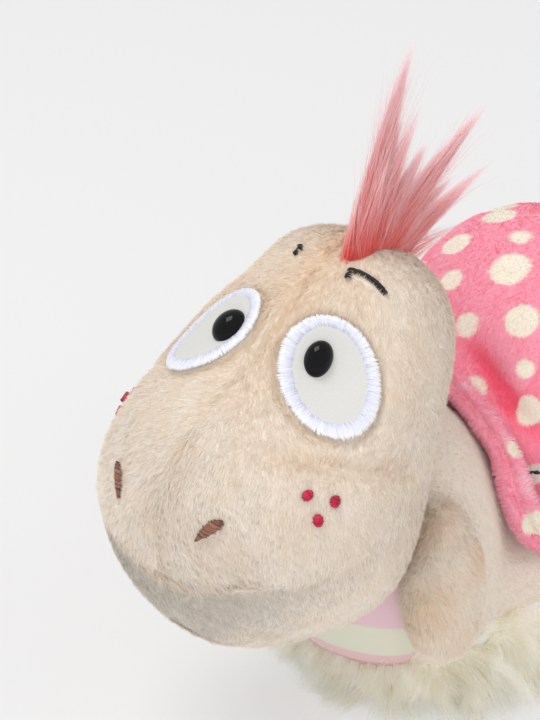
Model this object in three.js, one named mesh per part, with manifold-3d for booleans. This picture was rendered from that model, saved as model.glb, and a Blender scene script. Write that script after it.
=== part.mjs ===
// A sewn and stuffed plush snail in millimetres. It faces -Y, its left is +X, +Z is up, and the
// origin is the middle of the sole on the floor.
import * as THREE from "three";
import { mergeVertices } from "three/addons/utils/BufferGeometryUtils.js";
import Module from "manifold-3d";

const wasm = await Module();
wasm.setup();

// Cloth and fit
const CLOTH = 1.6;                // short-pile plush with its backing
const FLAT_CLOTH = 0.9;           // shorn cloth of the eye patches and the belly
const SEAM_GAP = 0.35;            // between neighbouring pieces
const MOVING_GAP = 1;             // between pieces that turn against each other

// Head, upright in its own frame before it looks up
const HEAD_HALF_WIDTH = 44;
const HEAD_FRONT_DEPTH = 37;
const HEAD_BACK_DEPTH = 37;
const HEAD_HALF_HEIGHT = 58.5;
const MUZZLE_SWELL = 6.4;         // how much the muzzle is fuller than the middle
const EYE_WAIST = 4.3;            // how much the head is drawn in beside the eyes
const CROWN_SPREAD = 17;          // how broad the crown stays near its top
const SOCKET_DEPTH = 6;           // how far the cloth is drawn in beside the nose ridge, at the eyes
const SOCKET_TURN = 36;           // degrees round the head to the middle of each socket
const SOCKET_REACH = 22;          // degrees
const HEAD_LOOK_UP = 39.5;        // degrees that the face is turned up
const HEAD_FORWARD = 40;          // head middle in front of chest middle
const HEAD_HEIGHT = 92;           // head middle above the floor
const CHIN_SEAM_DROP = 47;        // chin seam below the head middle, at the front
const CHIN_SEAM_RISE = 24;        // how much the chin seam climbs towards the cheeks
const NECK_RADIUS = 22;
const NECK_INSET = 1.5;           // neck middle inside the back of the head
const NOD_DOWN = 8;               // degrees
const NOD_UP = 5;                 // degrees

// Eyes
const EYE_TURN = 33;              // degrees round the head from the front
const EYE_RISE = 20;              // degrees above the head middle
const EYE_TILT = 30;              // degrees, tops leaning together
const EYE_HALF_WIDTH = 9.3;
const EYE_HALF_HEIGHT = 12.6;
const BORDER_WIDTH = 3.8;
const BORDER_HEIGHT = 1.5;
const PUPIL_HALF_WIDTH = 3.9;
const PUPIL_HALF_HEIGHT = 5;
const PUPIL_DOME = 3.4;
const PUPIL_INWARD = 8;           // degrees that the pupil sits nearer the nose than the patch
const PUPIL_UP = 2;               // degrees that the pupil sits above the patch middle
const STEM_RADIUS = 1.6;
const STEM_LENGTH = 9;
const WASHER_RADIUS = 5.2;
const WASHER_THICKNESS = 1.4;

// Embroidery on the face
const BROW_TURN = 28.5;
const BROW_RISE = 51;
const BROW_LENGTH = 11;
const BROW_WIDTH = 1.7;
const BROW_BOW = 1.8;
const STITCH_HEIGHT = 0.9;
const NOSTRIL_TURN = 22;
const NOSTRIL_RISE = -30;
const NOSTRIL_TILT = -27;
const NOSTRIL_LENGTH = 9.4;
const NOSTRIL_WIDTH = 3.4;
const FRECKLE_WIDTH = 3.1;
const FRECKLE_PLACES = [[47, -9.7], [57, -8], [54, -14]];

// Hair tuft in the seam at the crown
const TUFT_RISE = 74;             // degrees above the head middle, on the front of the crown
const TUFT_HALF_LENGTH = 10;
const TUFT_HALF_WIDTH = 5;
const TUFT_BASE_HEIGHT = 5;
const LOCK_RADIUS = 5;
const LOCK_TIP = 0.9;
// each lock: place along the tuft, lean back in degrees, lean to the side in degrees, length
const LOCKS = [
  [-2, -25, 2, 47], [-3, -16, 9, 38], [0, -7, -8, 38],
  [3, 4, 3, 46], [5, 15, 9, 35], [6, 27, -5, 40], [8, 40, 4, 28],
];

// Body, arms and foot
const CHEST_BACK = -44;           // chest middle from the sole middle, forwards is negative
const CHEST_HALF_WIDTH = 36;
const CHEST_HALF_DEPTH = 33;
const CHEST_HALF_HEIGHT = 44;
const CHEST_HEIGHT = 46;
const FOOT_HALF_WIDTH = 39;
const FOOT_HALF_LENGTH = 70;
const FOOT_HALF_HEIGHT = 38;
const FOOT_HEIGHT = 14;
const FOOT_FULLNESS = 2.6;
const BELLY_TURN = 58;            // degrees that the panel reaches to each side
const BELLY_TOP = 14;             // degrees above the chest middle
const BELLY_BOTTOM = -46;         // degrees below it
const SOLE_THICKNESS = 1.5;
const SOLE_MARGIN = 6;            // sole inside the widest line of the foot
const FUR_REACH = 8;              // fur band out from the foot
const FUR_HALF_HEIGHT = 12;
const ARM_HALF_LENGTH = 23.5;
const ARM_HALF_WIDTH = 13;
const ARM_HALF_THICK = 11;
const PAW_SWELL = 1.8;
const ARM_TURN = 62;              // degrees round the chest where the arm hangs
const ARM_SPLAY = 9;              // degrees that the paw hangs out
const ARM_FORWARD = 8;            // degrees that the paw hangs forward
const SHOULDER_RISE = 33;         // degrees above the chest middle

// Shell on the back
const SHELL_BACK = 24;            // shell middle behind the sole middle
const SHELL_HEIGHT = 67;
const SIDE_PANEL_RADIUS = 47;
const BAND_OVERHANG = 4;          // the band stands this far past the side panels
const SHELL_RADIUS = SIDE_PANEL_RADIUS + BAND_OVERHANG;
const SHELL_HALF_WIDTH = 41;
const SHELL_FULLNESS = 3.3;
const RIM_RADIUS = 5.6;
const RIM_HALF_WIDTH = 36;
const RIM_TOP = 88;
const RIM_STAND_OFF = 2;          // rim middle in front of the shell
const RIM_SIDE = 44;
const RIM_END = 35;
const SPIRAL_WIDTH = 1.8;
const SPIRAL_START = 46;          // from the shell middle, at the rim
const SPIRAL_END = 6;
const SPIRAL_TURNS = 1.6;
const SPIRAL_LIFT = 12;           // inner end above the shell middle
const SPIRAL_FALL = 0.36;         // how soon the line leaves the rim, sooner below 1

const rad = THREE.MathUtils.degToRad;

// Moves every corner of a geometry to the place that a function gives it.
function deformed(geometry, place) {
  const corners = geometry.attributes.position;
  const corner = new THREE.Vector3();
  for (let i = 0; i < corners.count; i++) {
    corner.fromBufferAttribute(corners, i);
    place(corner);
    corners.setXYZ(i, corner.x, corner.y, corner.z);
  }
  return geometry;
}

function solid(geometry) {
  const bare = geometry.clone();
  bare.deleteAttribute("normal");
  bare.deleteAttribute("uv");
  const merged = mergeVertices(bare, 1e-4);
  return new wasm.Manifold(new wasm.Mesh({
    numProp: 3,
    vertProperties: new Float32Array(merged.attributes.position.array),
    triVerts: new Uint32Array(merged.index.array),
  }));
}

// The geometry of a cut body, without the crumbs that a cut can leave beside it.
function geometryOf(body) {
  const mesh = body.decompose().reduce((most, next) => (next.volume() > most.volume() ? next : most)).getMesh();
  const geometry = new THREE.BufferGeometry();
  geometry.setAttribute("position", new THREE.BufferAttribute(new Float32Array(mesh.vertProperties), 3));
  geometry.setIndex(new THREE.BufferAttribute(new Uint32Array(mesh.triVerts), 1));
  geometry.computeVertexNormals();
  return geometry;
}

function mirrored(geometry) {
  const other = deformed(geometry.clone(), (p) => { p.x = -p.x; });
  const index = other.index.array;
  for (let i = 0; i < index.length; i += 3) {
    [index[i], index[i + 1]] = [index[i + 1], index[i]];
  }
  return other;
}

function ball(around, along) {
  return new THREE.SphereGeometry(1, around, along).rotateX(Math.PI / 2);
}

// A turned piece about Z from pairs of radius and height, listed from the bottom outwards and up.
function turned(profile, around) {
  const points = profile.map(([radius, height]) => new THREE.Vector2(radius, height));
  return new THREE.LatheGeometry(points, around).rotateX(Math.PI / 2);
}

// A stuffed form, rounder at fullness 2 and boxier above it.
function stuffed(halfX, halfY, halfZ, fullness, around, along) {
  return deformed(ball(around, along), (p) => {
    const sum = Math.abs(p.x) ** fullness + Math.abs(p.y) ** fullness + Math.abs(p.z) ** fullness;
    p.multiplyScalar(sum ** (-1 / fullness));
    p.set(p.x * halfX, p.y * halfY, p.z * halfZ);
  });
}

function normalAt(surface, turn, rise) {
  const across = surface(turn + 0.5, rise).sub(surface(turn - 0.5, rise));
  const up = surface(turn, rise + 0.5).sub(surface(turn, rise - 0.5));
  return across.cross(up).normalize();
}

// Lays a flat piece on a surface: its x runs across, its y up and its z off the cloth.
function laid(geometry, surface, turn, rise, tilt) {
  const across = surface(turn + 0.5, rise).distanceTo(surface(turn - 0.5, rise));
  const up = surface(turn, rise + 0.5).distanceTo(surface(turn, rise - 0.5));
  return deformed(geometry.clone().rotateZ(rad(tilt)), (p) => {
    const placeTurn = turn + p.x / across;
    const placeRise = rise + p.y / up;
    const lift = normalAt(surface, placeTurn, placeRise).multiplyScalar(p.z);
    p.copy(surface(placeTurn, placeRise).add(lift));
  });
}

// Head cover

function headGirth(rise) {
  const muzzle = MUZZLE_SWELL * Math.exp(-(((rise + 0.5) / 0.38) ** 2));
  const waist = EYE_WAIST * Math.exp(-(((rise - 0.35) / 0.35) ** 2));
  const crown = CROWN_SPREAD * Math.max(0, rise) ** 8;
  return 1 + (muzzle - waist + crown) / HEAD_HALF_WIDTH;
}

// Place of the head's cloth in the direction of a corner of the unit ball.
function headShape(p, grow) {
  const turn = Math.abs(THREE.MathUtils.radToDeg(Math.atan2(p.x, -p.y)));
  const socket = SOCKET_DEPTH * Math.exp(-(((turn - SOCKET_TURN) / SOCKET_REACH) ** 2) - (((p.z - 0.33) / 0.3) ** 2));
  const girth = headGirth(p.z) - socket / HEAD_FRONT_DEPTH;
  const depth = p.y < 0 ? HEAD_FRONT_DEPTH : HEAD_BACK_DEPTH;
  return p.set((HEAD_HALF_WIDTH + grow) * girth * p.x, (depth + grow) * girth * p.y, (HEAD_HALF_HEIGHT + grow) * p.z);
}

function headSurface(turn, rise) {
  const level = Math.cos(rad(rise));
  return headShape(new THREE.Vector3(level * Math.sin(rad(turn)), -level * Math.cos(rad(turn)), Math.sin(rad(rise))), 0);
}

function headForm(grow, around, along) {
  return deformed(ball(around, along), (p) => headShape(p, grow));
}

const neckInHead = new THREE.Vector3(0, HEAD_BACK_DEPTH - NECK_INSET, 0);
const headPlace = new THREE.Vector3(0, CHEST_BACK - HEAD_FORWARD, HEAD_HEIGHT);
const headGroup = new THREE.Group();
headGroup.name = "head";
headGroup.position.copy(headPlace);
headGroup.rotation.x = -rad(HEAD_LOOK_UP);
headGroup.updateMatrixWorld();
const neckPlace = headGroup.localToWorld(neckInHead.clone());

function neckBall(radius) {
  return solid(ball(14, 8).scale(radius, radius, radius));
}

const neckSeat = neckBall(NECK_RADIUS + 1.4 * MOVING_GAP).translate(neckInHead.toArray());

const stemHole = laid(turned([[0, -STEM_LENGTH - 1], [STEM_RADIUS + SEAM_GAP, -STEM_LENGTH - 1],
  [STEM_RADIUS + SEAM_GAP, 4], [0, 4]], 10), headSurface, EYE_TURN - PUPIL_INWARD, EYE_RISE + PUPIL_UP, 0);
const stemHoles = solid(stemHole).add(solid(mirrored(stemHole)));

const HEAD_AROUND = 22;
const HEAD_ALONG = 16;
const headCover = solid(headForm(0, HEAD_AROUND, HEAD_ALONG))
  .subtract(solid(headForm(-CLOTH, HEAD_AROUND, HEAD_ALONG)))
  .subtract(neckSeat).subtract(stemHoles);

// The chin is a panel of its own below a seam that climbs to both cheeks.
function chinBlock(shift) {
  const block = new THREE.BoxGeometry(3 * HEAD_HALF_WIDTH, 4 * HEAD_FRONT_DEPTH, HEAD_HALF_HEIGHT, 12, 1, 1);
  return solid(deformed(block, (p) => {
    const climb = CHIN_SEAM_RISE * (p.x / HEAD_HALF_WIDTH) ** 2;
    p.z = p.z > 0 ? climb - CHIN_SEAM_DROP + shift : -CHIN_SEAM_DROP - HEAD_HALF_HEIGHT;
  }));
}

const rightHalf = solid(new THREE.BoxGeometry(4 * HEAD_HALF_WIDTH, 6 * HEAD_BACK_DEPTH, 4 * HEAD_HALF_HEIGHT)
  .translate(SEAM_GAP / 2 - 2 * HEAD_HALF_WIDTH, 0, 0));
const headLeftPanel = headCover.subtract(chinBlock(SEAM_GAP)).subtract(rightHalf);
const chinPanel = headCover.intersect(chinBlock(0));

// Eyes: patch, stitched border, and a moulded pupil held by a washer inside the head

// What lies on the head is made a little too deep and then cut to the cloth under it.
const SINK = 4 * SEAM_GAP;
const headSkin = solid(headForm(SEAM_GAP, HEAD_AROUND, HEAD_ALONG));

const patchTop = SEAM_GAP + FLAT_CLOTH;
const eyePatch = solid(laid(turned([
  [0, -SINK], [EYE_HALF_WIDTH / 2, -SINK], [EYE_HALF_WIDTH, -SINK],
  [EYE_HALF_WIDTH, patchTop], [EYE_HALF_WIDTH / 2, patchTop], [0, patchTop],
], 16).scale(1, EYE_HALF_HEIGHT / EYE_HALF_WIDTH, 1), headSurface, EYE_TURN, EYE_RISE, EYE_TILT))
  .subtract(headSkin).subtract(stemHoles);

const borderInner = EYE_HALF_WIDTH + SEAM_GAP;
const borderOuter = borderInner + BORDER_WIDTH;
const borderTop = SEAM_GAP + BORDER_HEIGHT;
const eyeBorder = solid(laid(deformed(turned([
  [borderInner, -SINK], [borderOuter, -SINK], [borderOuter, SEAM_GAP], [borderOuter - BORDER_WIDTH / 4, borderTop],
  [borderInner + BORDER_WIDTH / 4, borderTop], [borderInner, SEAM_GAP], [borderInner, -SINK],
], 20), (p) => {
  const reach = Math.hypot(p.x, p.y);
  p.y *= (reach + EYE_HALF_HEIGHT - EYE_HALF_WIDTH) / reach;
}), headSurface, EYE_TURN, EYE_RISE, EYE_TILT)).subtract(headSkin);

const pupilBase = patchTop + SEAM_GAP;
const pupil = laid(deformed(turned([
  [0, -STEM_LENGTH], [STEM_RADIUS, -STEM_LENGTH], [STEM_RADIUS, pupilBase], [PUPIL_HALF_WIDTH, pupilBase],
  [0.92 * PUPIL_HALF_WIDTH, pupilBase + 0.45 * PUPIL_DOME], [0.6 * PUPIL_HALF_WIDTH, pupilBase + 0.86 * PUPIL_DOME],
  [0, pupilBase + PUPIL_DOME],
], 16), (p) => {
  p.y *= Math.hypot(p.x, p.y) > 1.2 * STEM_RADIUS ? PUPIL_HALF_HEIGHT / PUPIL_HALF_WIDTH : 1;
}), headSurface, EYE_TURN - PUPIL_INWARD, EYE_RISE + PUPIL_UP, EYE_TILT / 3);

const washerTop = -CLOTH - 2 * SEAM_GAP;
const washerBottom = washerTop - WASHER_THICKNESS;
const washerInner = STEM_RADIUS + SEAM_GAP;
const washer = laid(turned([
  [washerInner, washerBottom], [WASHER_RADIUS, washerBottom], [WASHER_RADIUS, washerTop],
  [washerInner, washerTop], [washerInner, washerBottom],
], 14), headSurface, EYE_TURN - PUPIL_INWARD, EYE_RISE + PUPIL_UP, 0);

const washerPocket = laid(turned([
  [0, -STEM_LENGTH - 1], [WASHER_RADIUS + 2 * SEAM_GAP, -STEM_LENGTH - 1], [WASHER_RADIUS + 2 * SEAM_GAP, 2], [0, 2],
], 14), headSurface, EYE_TURN - PUPIL_INWARD, EYE_RISE + PUPIL_UP, 0);
const headFill = solid(headForm(-CLOTH - 4 * SEAM_GAP, HEAD_AROUND, HEAD_ALONG)).subtract(neckSeat)
  .subtract(solid(washerPocket)).subtract(solid(mirrored(washerPocket)));

// Brows, nostrils and freckles: low pads of thread

function stitchPad(length, width, around) {
  return turned([
    [0, -SINK], [0.5, -SINK], [0.5, SEAM_GAP], [0.42, SEAM_GAP + 0.6 * STITCH_HEIGHT], [0, SEAM_GAP + STITCH_HEIGHT],
  ], around).scale(length, width, 1);
}

const brow = solid(laid(deformed(stitchPad(BROW_LENGTH, BROW_WIDTH, 18), (p) => {
  p.y -= BROW_BOW * (2 * p.x / BROW_LENGTH) ** 2;
}), headSurface, BROW_TURN, BROW_RISE, -6)).subtract(headSkin);

const nostril = solid(laid(deformed(stitchPad(NOSTRIL_WIDTH, NOSTRIL_LENGTH, 16), (p) => {
  p.x *= 1 + 0.75 * p.y / NOSTRIL_LENGTH;
}), headSurface, NOSTRIL_TURN, NOSTRIL_RISE, NOSTRIL_TILT)).subtract(headSkin);

const freckles = FRECKLE_PLACES.map(([turn, rise]) => (
  solid(laid(stitchPad(FRECKLE_WIDTH, FRECKLE_WIDTH, 9), headSurface, turn, rise, 0)).subtract(headSkin)));

// Hair tuft: locks on a strip that is caught in the crown seam

const tuftPlace = headSurface(0, TUFT_RISE);
let tuft = solid(stuffed(TUFT_HALF_WIDTH, TUFT_HALF_LENGTH, TUFT_BASE_HEIGHT, 2, 8, 6).rotateX(rad(90 - TUFT_RISE))
  .translate(tuftPlace.x, tuftPlace.y, tuftPlace.z));
for (const [along, back, side, length] of LOCKS) {
  const lock = new THREE.CylinderGeometry(LOCK_TIP, LOCK_RADIUS, length, 5, 2).rotateX(Math.PI / 2);
  lock.translate(0, 0, length / 2);
  deformed(lock, (p) => {
    p.y += 0.12 * length * (p.z / length) ** 2;
  });
  lock.rotateX(-rad(back)).rotateY(rad(side)).translate(0, tuftPlace.y + along, tuftPlace.z);
  tuft = tuft.add(solid(lock));
}
tuft = tuft.subtract(headSkin);

// Body: a chest, a long foot and a neck, cut back where the head swings

function headSweep(grow) {
  let sweep = null;
  for (let step = 0; step <= 2; step++) {
    const nod = rad(-NOD_UP - 1 + (NOD_UP + NOD_DOWN + 2) * step / 2);
    const form = headForm(grow + 2 * SEAM_GAP, 14, 10).applyMatrix4(headGroup.matrixWorld)
      .translate(-neckPlace.x, -neckPlace.y, -neckPlace.z).rotateX(nod)
      .translate(neckPlace.x, neckPlace.y, neckPlace.z);
    sweep = sweep ? sweep.add(solid(form)) : solid(form);
  }
  return sweep;
}

const chestPlace = new THREE.Vector3(0, CHEST_BACK, CHEST_HEIGHT);

function chestForm(grow) {
  return solid(stuffed(CHEST_HALF_WIDTH + grow, CHEST_HALF_DEPTH + grow, CHEST_HALF_HEIGHT + grow, 2, 18, 12)
    .translate(0, CHEST_BACK, CHEST_HEIGHT));
}

function footForm(grow) {
  return solid(stuffed(FOOT_HALF_WIDTH + grow, FOOT_HALF_LENGTH + grow, FOOT_HALF_HEIGHT + grow, FOOT_FULLNESS, 22, 10)
    .translate(0, 0, FOOT_HEIGHT));
}

function bodyForm(grow) {
  return chestForm(grow).add(footForm(grow));
}

function below(height) {
  return solid(new THREE.BoxGeometry(8 * FOOT_HALF_WIDTH, 8 * FOOT_HALF_LENGTH, 200).translate(0, 0, height - 100));
}

function bodyWithNeck(grow) {
  return bodyForm(grow).subtract(headSweep(MOVING_GAP - grow))
    .add(neckBall(NECK_RADIUS + grow).translate(neckPlace.toArray()));
}

const bodyFloor = SOLE_THICKNESS + SEAM_GAP;
const bodyCover = bodyWithNeck(0).subtract(bodyWithNeck(-CLOTH)).subtract(below(bodyFloor));
const bodyFill = bodyWithNeck(-CLOTH - SEAM_GAP).subtract(below(bodyFloor));

function chestSurface(turn, rise) {
  return new THREE.Vector3(
    CHEST_HALF_WIDTH * Math.cos(rad(rise)) * Math.sin(rad(turn)),
    -CHEST_HALF_DEPTH * Math.cos(rad(rise)) * Math.cos(rad(turn)),
    CHEST_HALF_HEIGHT * Math.sin(rad(rise)),
  ).add(chestPlace);
}

// Belly panel: a flat cloth laid over the front of the chest
const bellySheet = deformed(new THREE.BoxGeometry(2, 1, 1, 12, 6, 1), (p) => {
  const turn = BELLY_TURN * p.x;
  const rise = (BELLY_TOP + BELLY_BOTTOM) / 2 + (BELLY_TOP - BELLY_BOTTOM) * p.y;
  const lift = p.z > 0 ? SEAM_GAP + FLAT_CLOTH : -SINK;
  p.copy(chestSurface(turn, rise).addScaledVector(normalAt(chestSurface, turn, rise), lift));
});
const bellyPanel = solid(bellySheet).subtract(bodyForm(SEAM_GAP)).subtract(headSweep(MOVING_GAP));
const overBelly = FLAT_CLOTH + 4 * SEAM_GAP;

// Sole and the fur band round the foot

const soleShape = new THREE.Shape()
  .absellipse(0, 0, FOOT_HALF_WIDTH - SOLE_MARGIN, FOOT_HALF_LENGTH - SOLE_MARGIN, 0, 2 * Math.PI);
const sole = new THREE.ExtrudeGeometry(soleShape, { depth: SOLE_THICKNESS, bevelEnabled: false, curveSegments: 20 });

const furBand = solid(deformed(new THREE.TorusGeometry(1, 0.1, 6, 30), (p) => {
  const turn = Math.atan2(p.y, p.x);
  const out = (Math.hypot(p.x, p.y) - 1) * 10 * FUR_REACH;
  p.set(
    (FOOT_HALF_WIDTH + out) * Math.cos(turn),
    (FOOT_HALF_LENGTH + out) * Math.sin(turn),
    FUR_HALF_HEIGHT - 0.5 + p.z * 10 * FUR_HALF_HEIGHT,
  );
})).subtract(bodyForm(overBelly)).subtract(below(0))
  .subtract(solid(sole.clone().scale(1, 1, 2)));

// Arms hang from a seam on each shoulder

const shoulderPlace = chestSurface(ARM_TURN, SHOULDER_RISE);
const armGroup = new THREE.Group();
armGroup.name = "left_arm";
armGroup.position.copy(shoulderPlace);
armGroup.rotation.set(-rad(ARM_FORWARD), -rad(ARM_SPLAY), 0);
armGroup.updateMatrixWorld();

function armForm(grow, around, along) {
  return deformed(ball(around, along), (p) => {
    const swell = 1 - PAW_SWELL * p.z / ARM_HALF_WIDTH;
    const root = ARM_HALF_THICK * 0.55;
    p.set(
      root + (ARM_HALF_THICK + grow) * swell * p.x,
      (ARM_HALF_WIDTH + grow) * swell * p.y,
      (ARM_HALF_LENGTH + grow) * p.z - ARM_HALF_LENGTH * 0.82,
    );
  });
}

const intoArm = armGroup.matrixWorld.clone().invert();
const bodyAtArm = solid(geometryOf(bodyForm(overBelly)).applyMatrix4(intoArm));
const headAtArm = solid(geometryOf(headSweep(MOVING_GAP)).applyMatrix4(intoArm));
const armOpening = solid(new THREE.CylinderGeometry(4, 4, 3 * ARM_HALF_THICK, 10).rotateZ(Math.PI / 2)
  .translate(-ARM_HALF_THICK, 0, -3));
const armCover = solid(armForm(0, 12, 9)).subtract(solid(armForm(-CLOTH, 12, 9)))
  .subtract(bodyAtArm).subtract(headAtArm).subtract(armOpening);
const armFill = solid(armForm(-CLOTH - 2 * SEAM_GAP, 12, 9)).subtract(bodyAtArm).subtract(headAtArm);

// Shell: two round side panels and a broad band, over a filling, with a rolled rim at the opening

function shellProfile(share, inset) {
  const power = 2 / SHELL_FULLNESS;
  const at = (angle) => new THREE.Vector2(
    SHELL_RADIUS * Math.sin(angle) ** power,
    SHELL_HALF_WIDTH * Math.sign(Math.cos(angle)) * Math.abs(Math.cos(angle)) ** power,
  );
  const angle = share * Math.PI / 2;
  const along = at(Math.min(Math.PI, angle + 1e-4)).sub(at(Math.max(0, angle - 1e-4))).normalize();
  return at(angle).add(new THREE.Vector2(along.y, -along.x).multiplyScalar(inset));
}

// Share of the profile, from the middle of a side to the top of the band, at a distance from the middle.
function shareAt(fromMiddle) {
  return Math.asin((fromMiddle / SHELL_RADIUS) ** (SHELL_FULLNESS / 2)) / (Math.PI / 2);
}

const seamShare = shareAt(SIDE_PANEL_RADIUS);
const seamStep = 0.5 * SEAM_GAP / SHELL_RADIUS;
const shellPlace = new THREE.Vector3(0, SHELL_BACK, SHELL_HEIGHT);

function shellTurned(points, around) {
  return solid(new THREE.LatheGeometry(points, around).rotateZ(-Math.PI / 2)
    .translate(shellPlace.x, shellPlace.y, shellPlace.z));
}

function profileRun(from, to, steps, inset) {
  const run = [];
  for (let i = 0; i <= steps; i++) {
    run.push(shellProfile(from + (to - from) * i / steps, inset));
  }
  return run;
}

function closedOnAxis(points) {
  points[0].x = 0;
  points[points.length - 1].x = 0;
  return points;
}

const sideOuter = profileRun(seamShare - seamStep, 0, 4, 0);
const sideInner = profileRun(0, seamShare - seamStep, 4, CLOTH);
sideOuter[sideOuter.length - 1].x = 0;
sideInner[0].x = 0;
const bandOuter = profileRun(2 - seamShare - seamStep, seamShare + seamStep, 8, 0);
const bandInner = profileRun(seamShare + seamStep, 2 - seamShare - seamStep, 6, CLOTH);
const fillOuter = closedOnAxis(profileRun(2, 0, 6, CLOTH + 2 * SEAM_GAP));

// Front of the shell at a place across it and a height.
function shellFrontAt(across, height) {
  const radius = SHELL_RADIUS * (1 - (across / SHELL_HALF_WIDTH) ** SHELL_FULLNESS) ** (1 / SHELL_FULLNESS);
  return SHELL_BACK - Math.sqrt(radius ** 2 - (height - SHELL_HEIGHT) ** 2);
}

// The rim's line: an arch round the back of the chest, then low along both sides to the tail.
const rimFront = SHELL_BACK - SHELL_RADIUS - RIM_STAND_OFF;
const rimShoulder = [0.66 * RIM_HALF_WIDTH, RIM_TOP - 11];
const rimEndPlace = SHELL_BACK + 0.82 * SHELL_RADIUS;
const rimHalf = [
  [0, shellFrontAt(0, RIM_TOP) - RIM_STAND_OFF, RIM_TOP],
  [rimShoulder[0], shellFrontAt(...rimShoulder) - RIM_STAND_OFF, rimShoulder[1]],
  [0.95 * RIM_HALF_WIDTH, rimFront + 3, RIM_TOP - 28],
  [1.02 * RIM_HALF_WIDTH, rimFront + 13, RIM_SIDE + 2],
  [RIM_HALF_WIDTH, rimFront + 37, RIM_SIDE - 4],
  [0.88 * RIM_HALF_WIDTH, rimEndPlace - 30, RIM_END + 3],
  [0.52 * RIM_HALF_WIDTH, rimEndPlace - 7, RIM_END],
  [0, rimEndPlace, RIM_END],
];
const rimPoints = rimHalf.map((p) => new THREE.Vector3(...p));
const rimOther = rimHalf.slice(1, -1).reverse().map(([x, y, z]) => new THREE.Vector3(-x, y, z));
const rimLine = new THREE.CatmullRomCurve3([...rimPoints, ...rimOther], true, "centripetal");
const rimMiddle = new THREE.Vector3(0, (rimFront + rimEndPlace) / 2, (RIM_TOP + RIM_END) / 2);

function rimForm(radius, around) {
  return solid(deformed(new THREE.TorusGeometry(1, 0.1, 6, around), (p) => {
    const turn = (Math.atan2(p.y, p.x) / (2 * Math.PI) + 1) % 1;
    const out = (Math.hypot(p.x, p.y) - 1) * 10 * radius;
    const over = p.z * 10 * radius;
    const centre = rimLine.getPointAt(turn);
    const tangent = rimLine.getTangentAt(turn);
    const outward = centre.clone().sub(rimMiddle);
    outward.addScaledVector(tangent, -outward.dot(tangent)).normalize();
    const side = outward.clone().cross(tangent);
    p.copy(centre).addScaledVector(outward, out).addScaledVector(side, over);
  }));
}

const rimFullCut = bodyForm(SEAM_GAP).add(headSweep(MOVING_GAP));
const shellRim = rimForm(RIM_RADIUS, 32).subtract(rimFullCut);

// What lies under the rim's line is open to the body.
const underShape = new THREE.Shape([
  new THREE.Vector2(rimFront - 40, 0),
  new THREE.Vector2(rimFront - 40, rimShoulder[1]),
  ...rimHalf.slice(1).map(([, y, z]) => new THREE.Vector2(y, z)),
  new THREE.Vector2(rimEndPlace + 60, RIM_END),
  new THREE.Vector2(rimEndPlace + 60, 0),
]);
const underBlock = solid(new THREE.ExtrudeGeometry(underShape, { depth: 6 * SHELL_HALF_WIDTH, bevelEnabled: false })
  .translate(0, 0, -3 * SHELL_HALF_WIDTH).rotateX(Math.PI / 2).rotateZ(Math.PI / 2));
const shellCut = underBlock.add(bodyForm(SEAM_GAP)).add(rimForm(RIM_RADIUS + 2 * SEAM_GAP, 32)).add(headSweep(MOVING_GAP));

const shellSide = shellTurned([...sideInner, ...sideOuter], 24).subtract(shellCut);
const shellBand = shellTurned([...bandInner, ...bandOuter, bandInner[0].clone()], 24).subtract(shellCut);
const shellFill = shellTurned(fillOuter, 24).subtract(shellCut);

// Spiral line stitched on each side panel
const spiralPoints = [];
for (let i = 0; i <= 32; i++) {
  const share = (i / 32) ** 2;
  const inward = share ** SPIRAL_FALL;
  const reach = SPIRAL_START + (SPIRAL_END - SPIRAL_START) * inward;
  const angle = Math.PI + 2 * Math.PI * SPIRAL_TURNS * share;
  const back = reach * Math.cos(angle);
  const high = SPIRAL_LIFT * inward + reach * Math.sin(angle);
  const fromMiddle = Math.hypot(back, high);
  const on = shellProfile(shareAt(fromMiddle), -SPIRAL_WIDTH / 2 - 2 * SEAM_GAP);
  const spread = on.x / fromMiddle;
  spiralPoints.push(new THREE.Vector3(on.y, back * spread, high * spread).add(shellPlace));
}
const threadShape = new THREE.Shape().absellipse(0, 0, SPIRAL_WIDTH / 2, SPIRAL_WIDTH / 2, 0, 2 * Math.PI);
const spiral = solid(new THREE.ExtrudeGeometry(threadShape, {
  steps: 40, curveSegments: 3, extrudePath: new THREE.CatmullRomCurve3(spiralPoints),
})).subtract(shellCut);

// Cloths, thread and plastic, as seen

function finish(colour, roughness) {
  return new THREE.MeshStandardMaterial({ color: colour, roughness, metalness: 0 });
}

const FINISHES = {
  beigePlush: () => finish("#e3cfb7", 0.95),
  filling: () => finish("#f2f0ea", 1),
  whiteVelour: () => finish("#ebebe6", 0.9),
  whiteThread: () => finish("#eeeef6", 0.6),
  blackPlastic: () => finish("#0a0a0c", 0.08),
  washerPlastic: () => finish("#dcdcd8", 0.4),
  blackThread: () => finish("#1c1a1a", 0.6),
  brownThread: () => finish("#8a5a45", 0.55),
  redThread: () => finish("#bd1d45", 0.6),
  coralHair: () => finish("#d98283", 0.8),
  bellyVelour: () => finish("#cfb4b0", 0.9),
  whiteFur: () => finish("#eae6d6", 0.95),
  soleCloth: () => finish("#dcc9b4", 0.95),
  pinkPlush: () => finish("#f98fae", 0.95),
};

function piece(name, geometry, cloth) {
  const shape = geometry.isBufferGeometry ? geometry : geometryOf(geometry);
  const mesh = new THREE.Mesh(shape, FINISHES[cloth]());
  mesh.name = name;
  return mesh;
}

const snail = new THREE.Group();
snail.name = "plush_snail";

// Adds a piece on the left and its mirror image on the right.
function addPair(left, right, name, geometry, cloth) {
  const shape = geometry.isBufferGeometry ? geometry : geometryOf(geometry);
  left.add(piece(`left_${name}`, shape, cloth));
  right.add(piece(`right_${name}`, shape.clone(), cloth));
}

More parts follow.
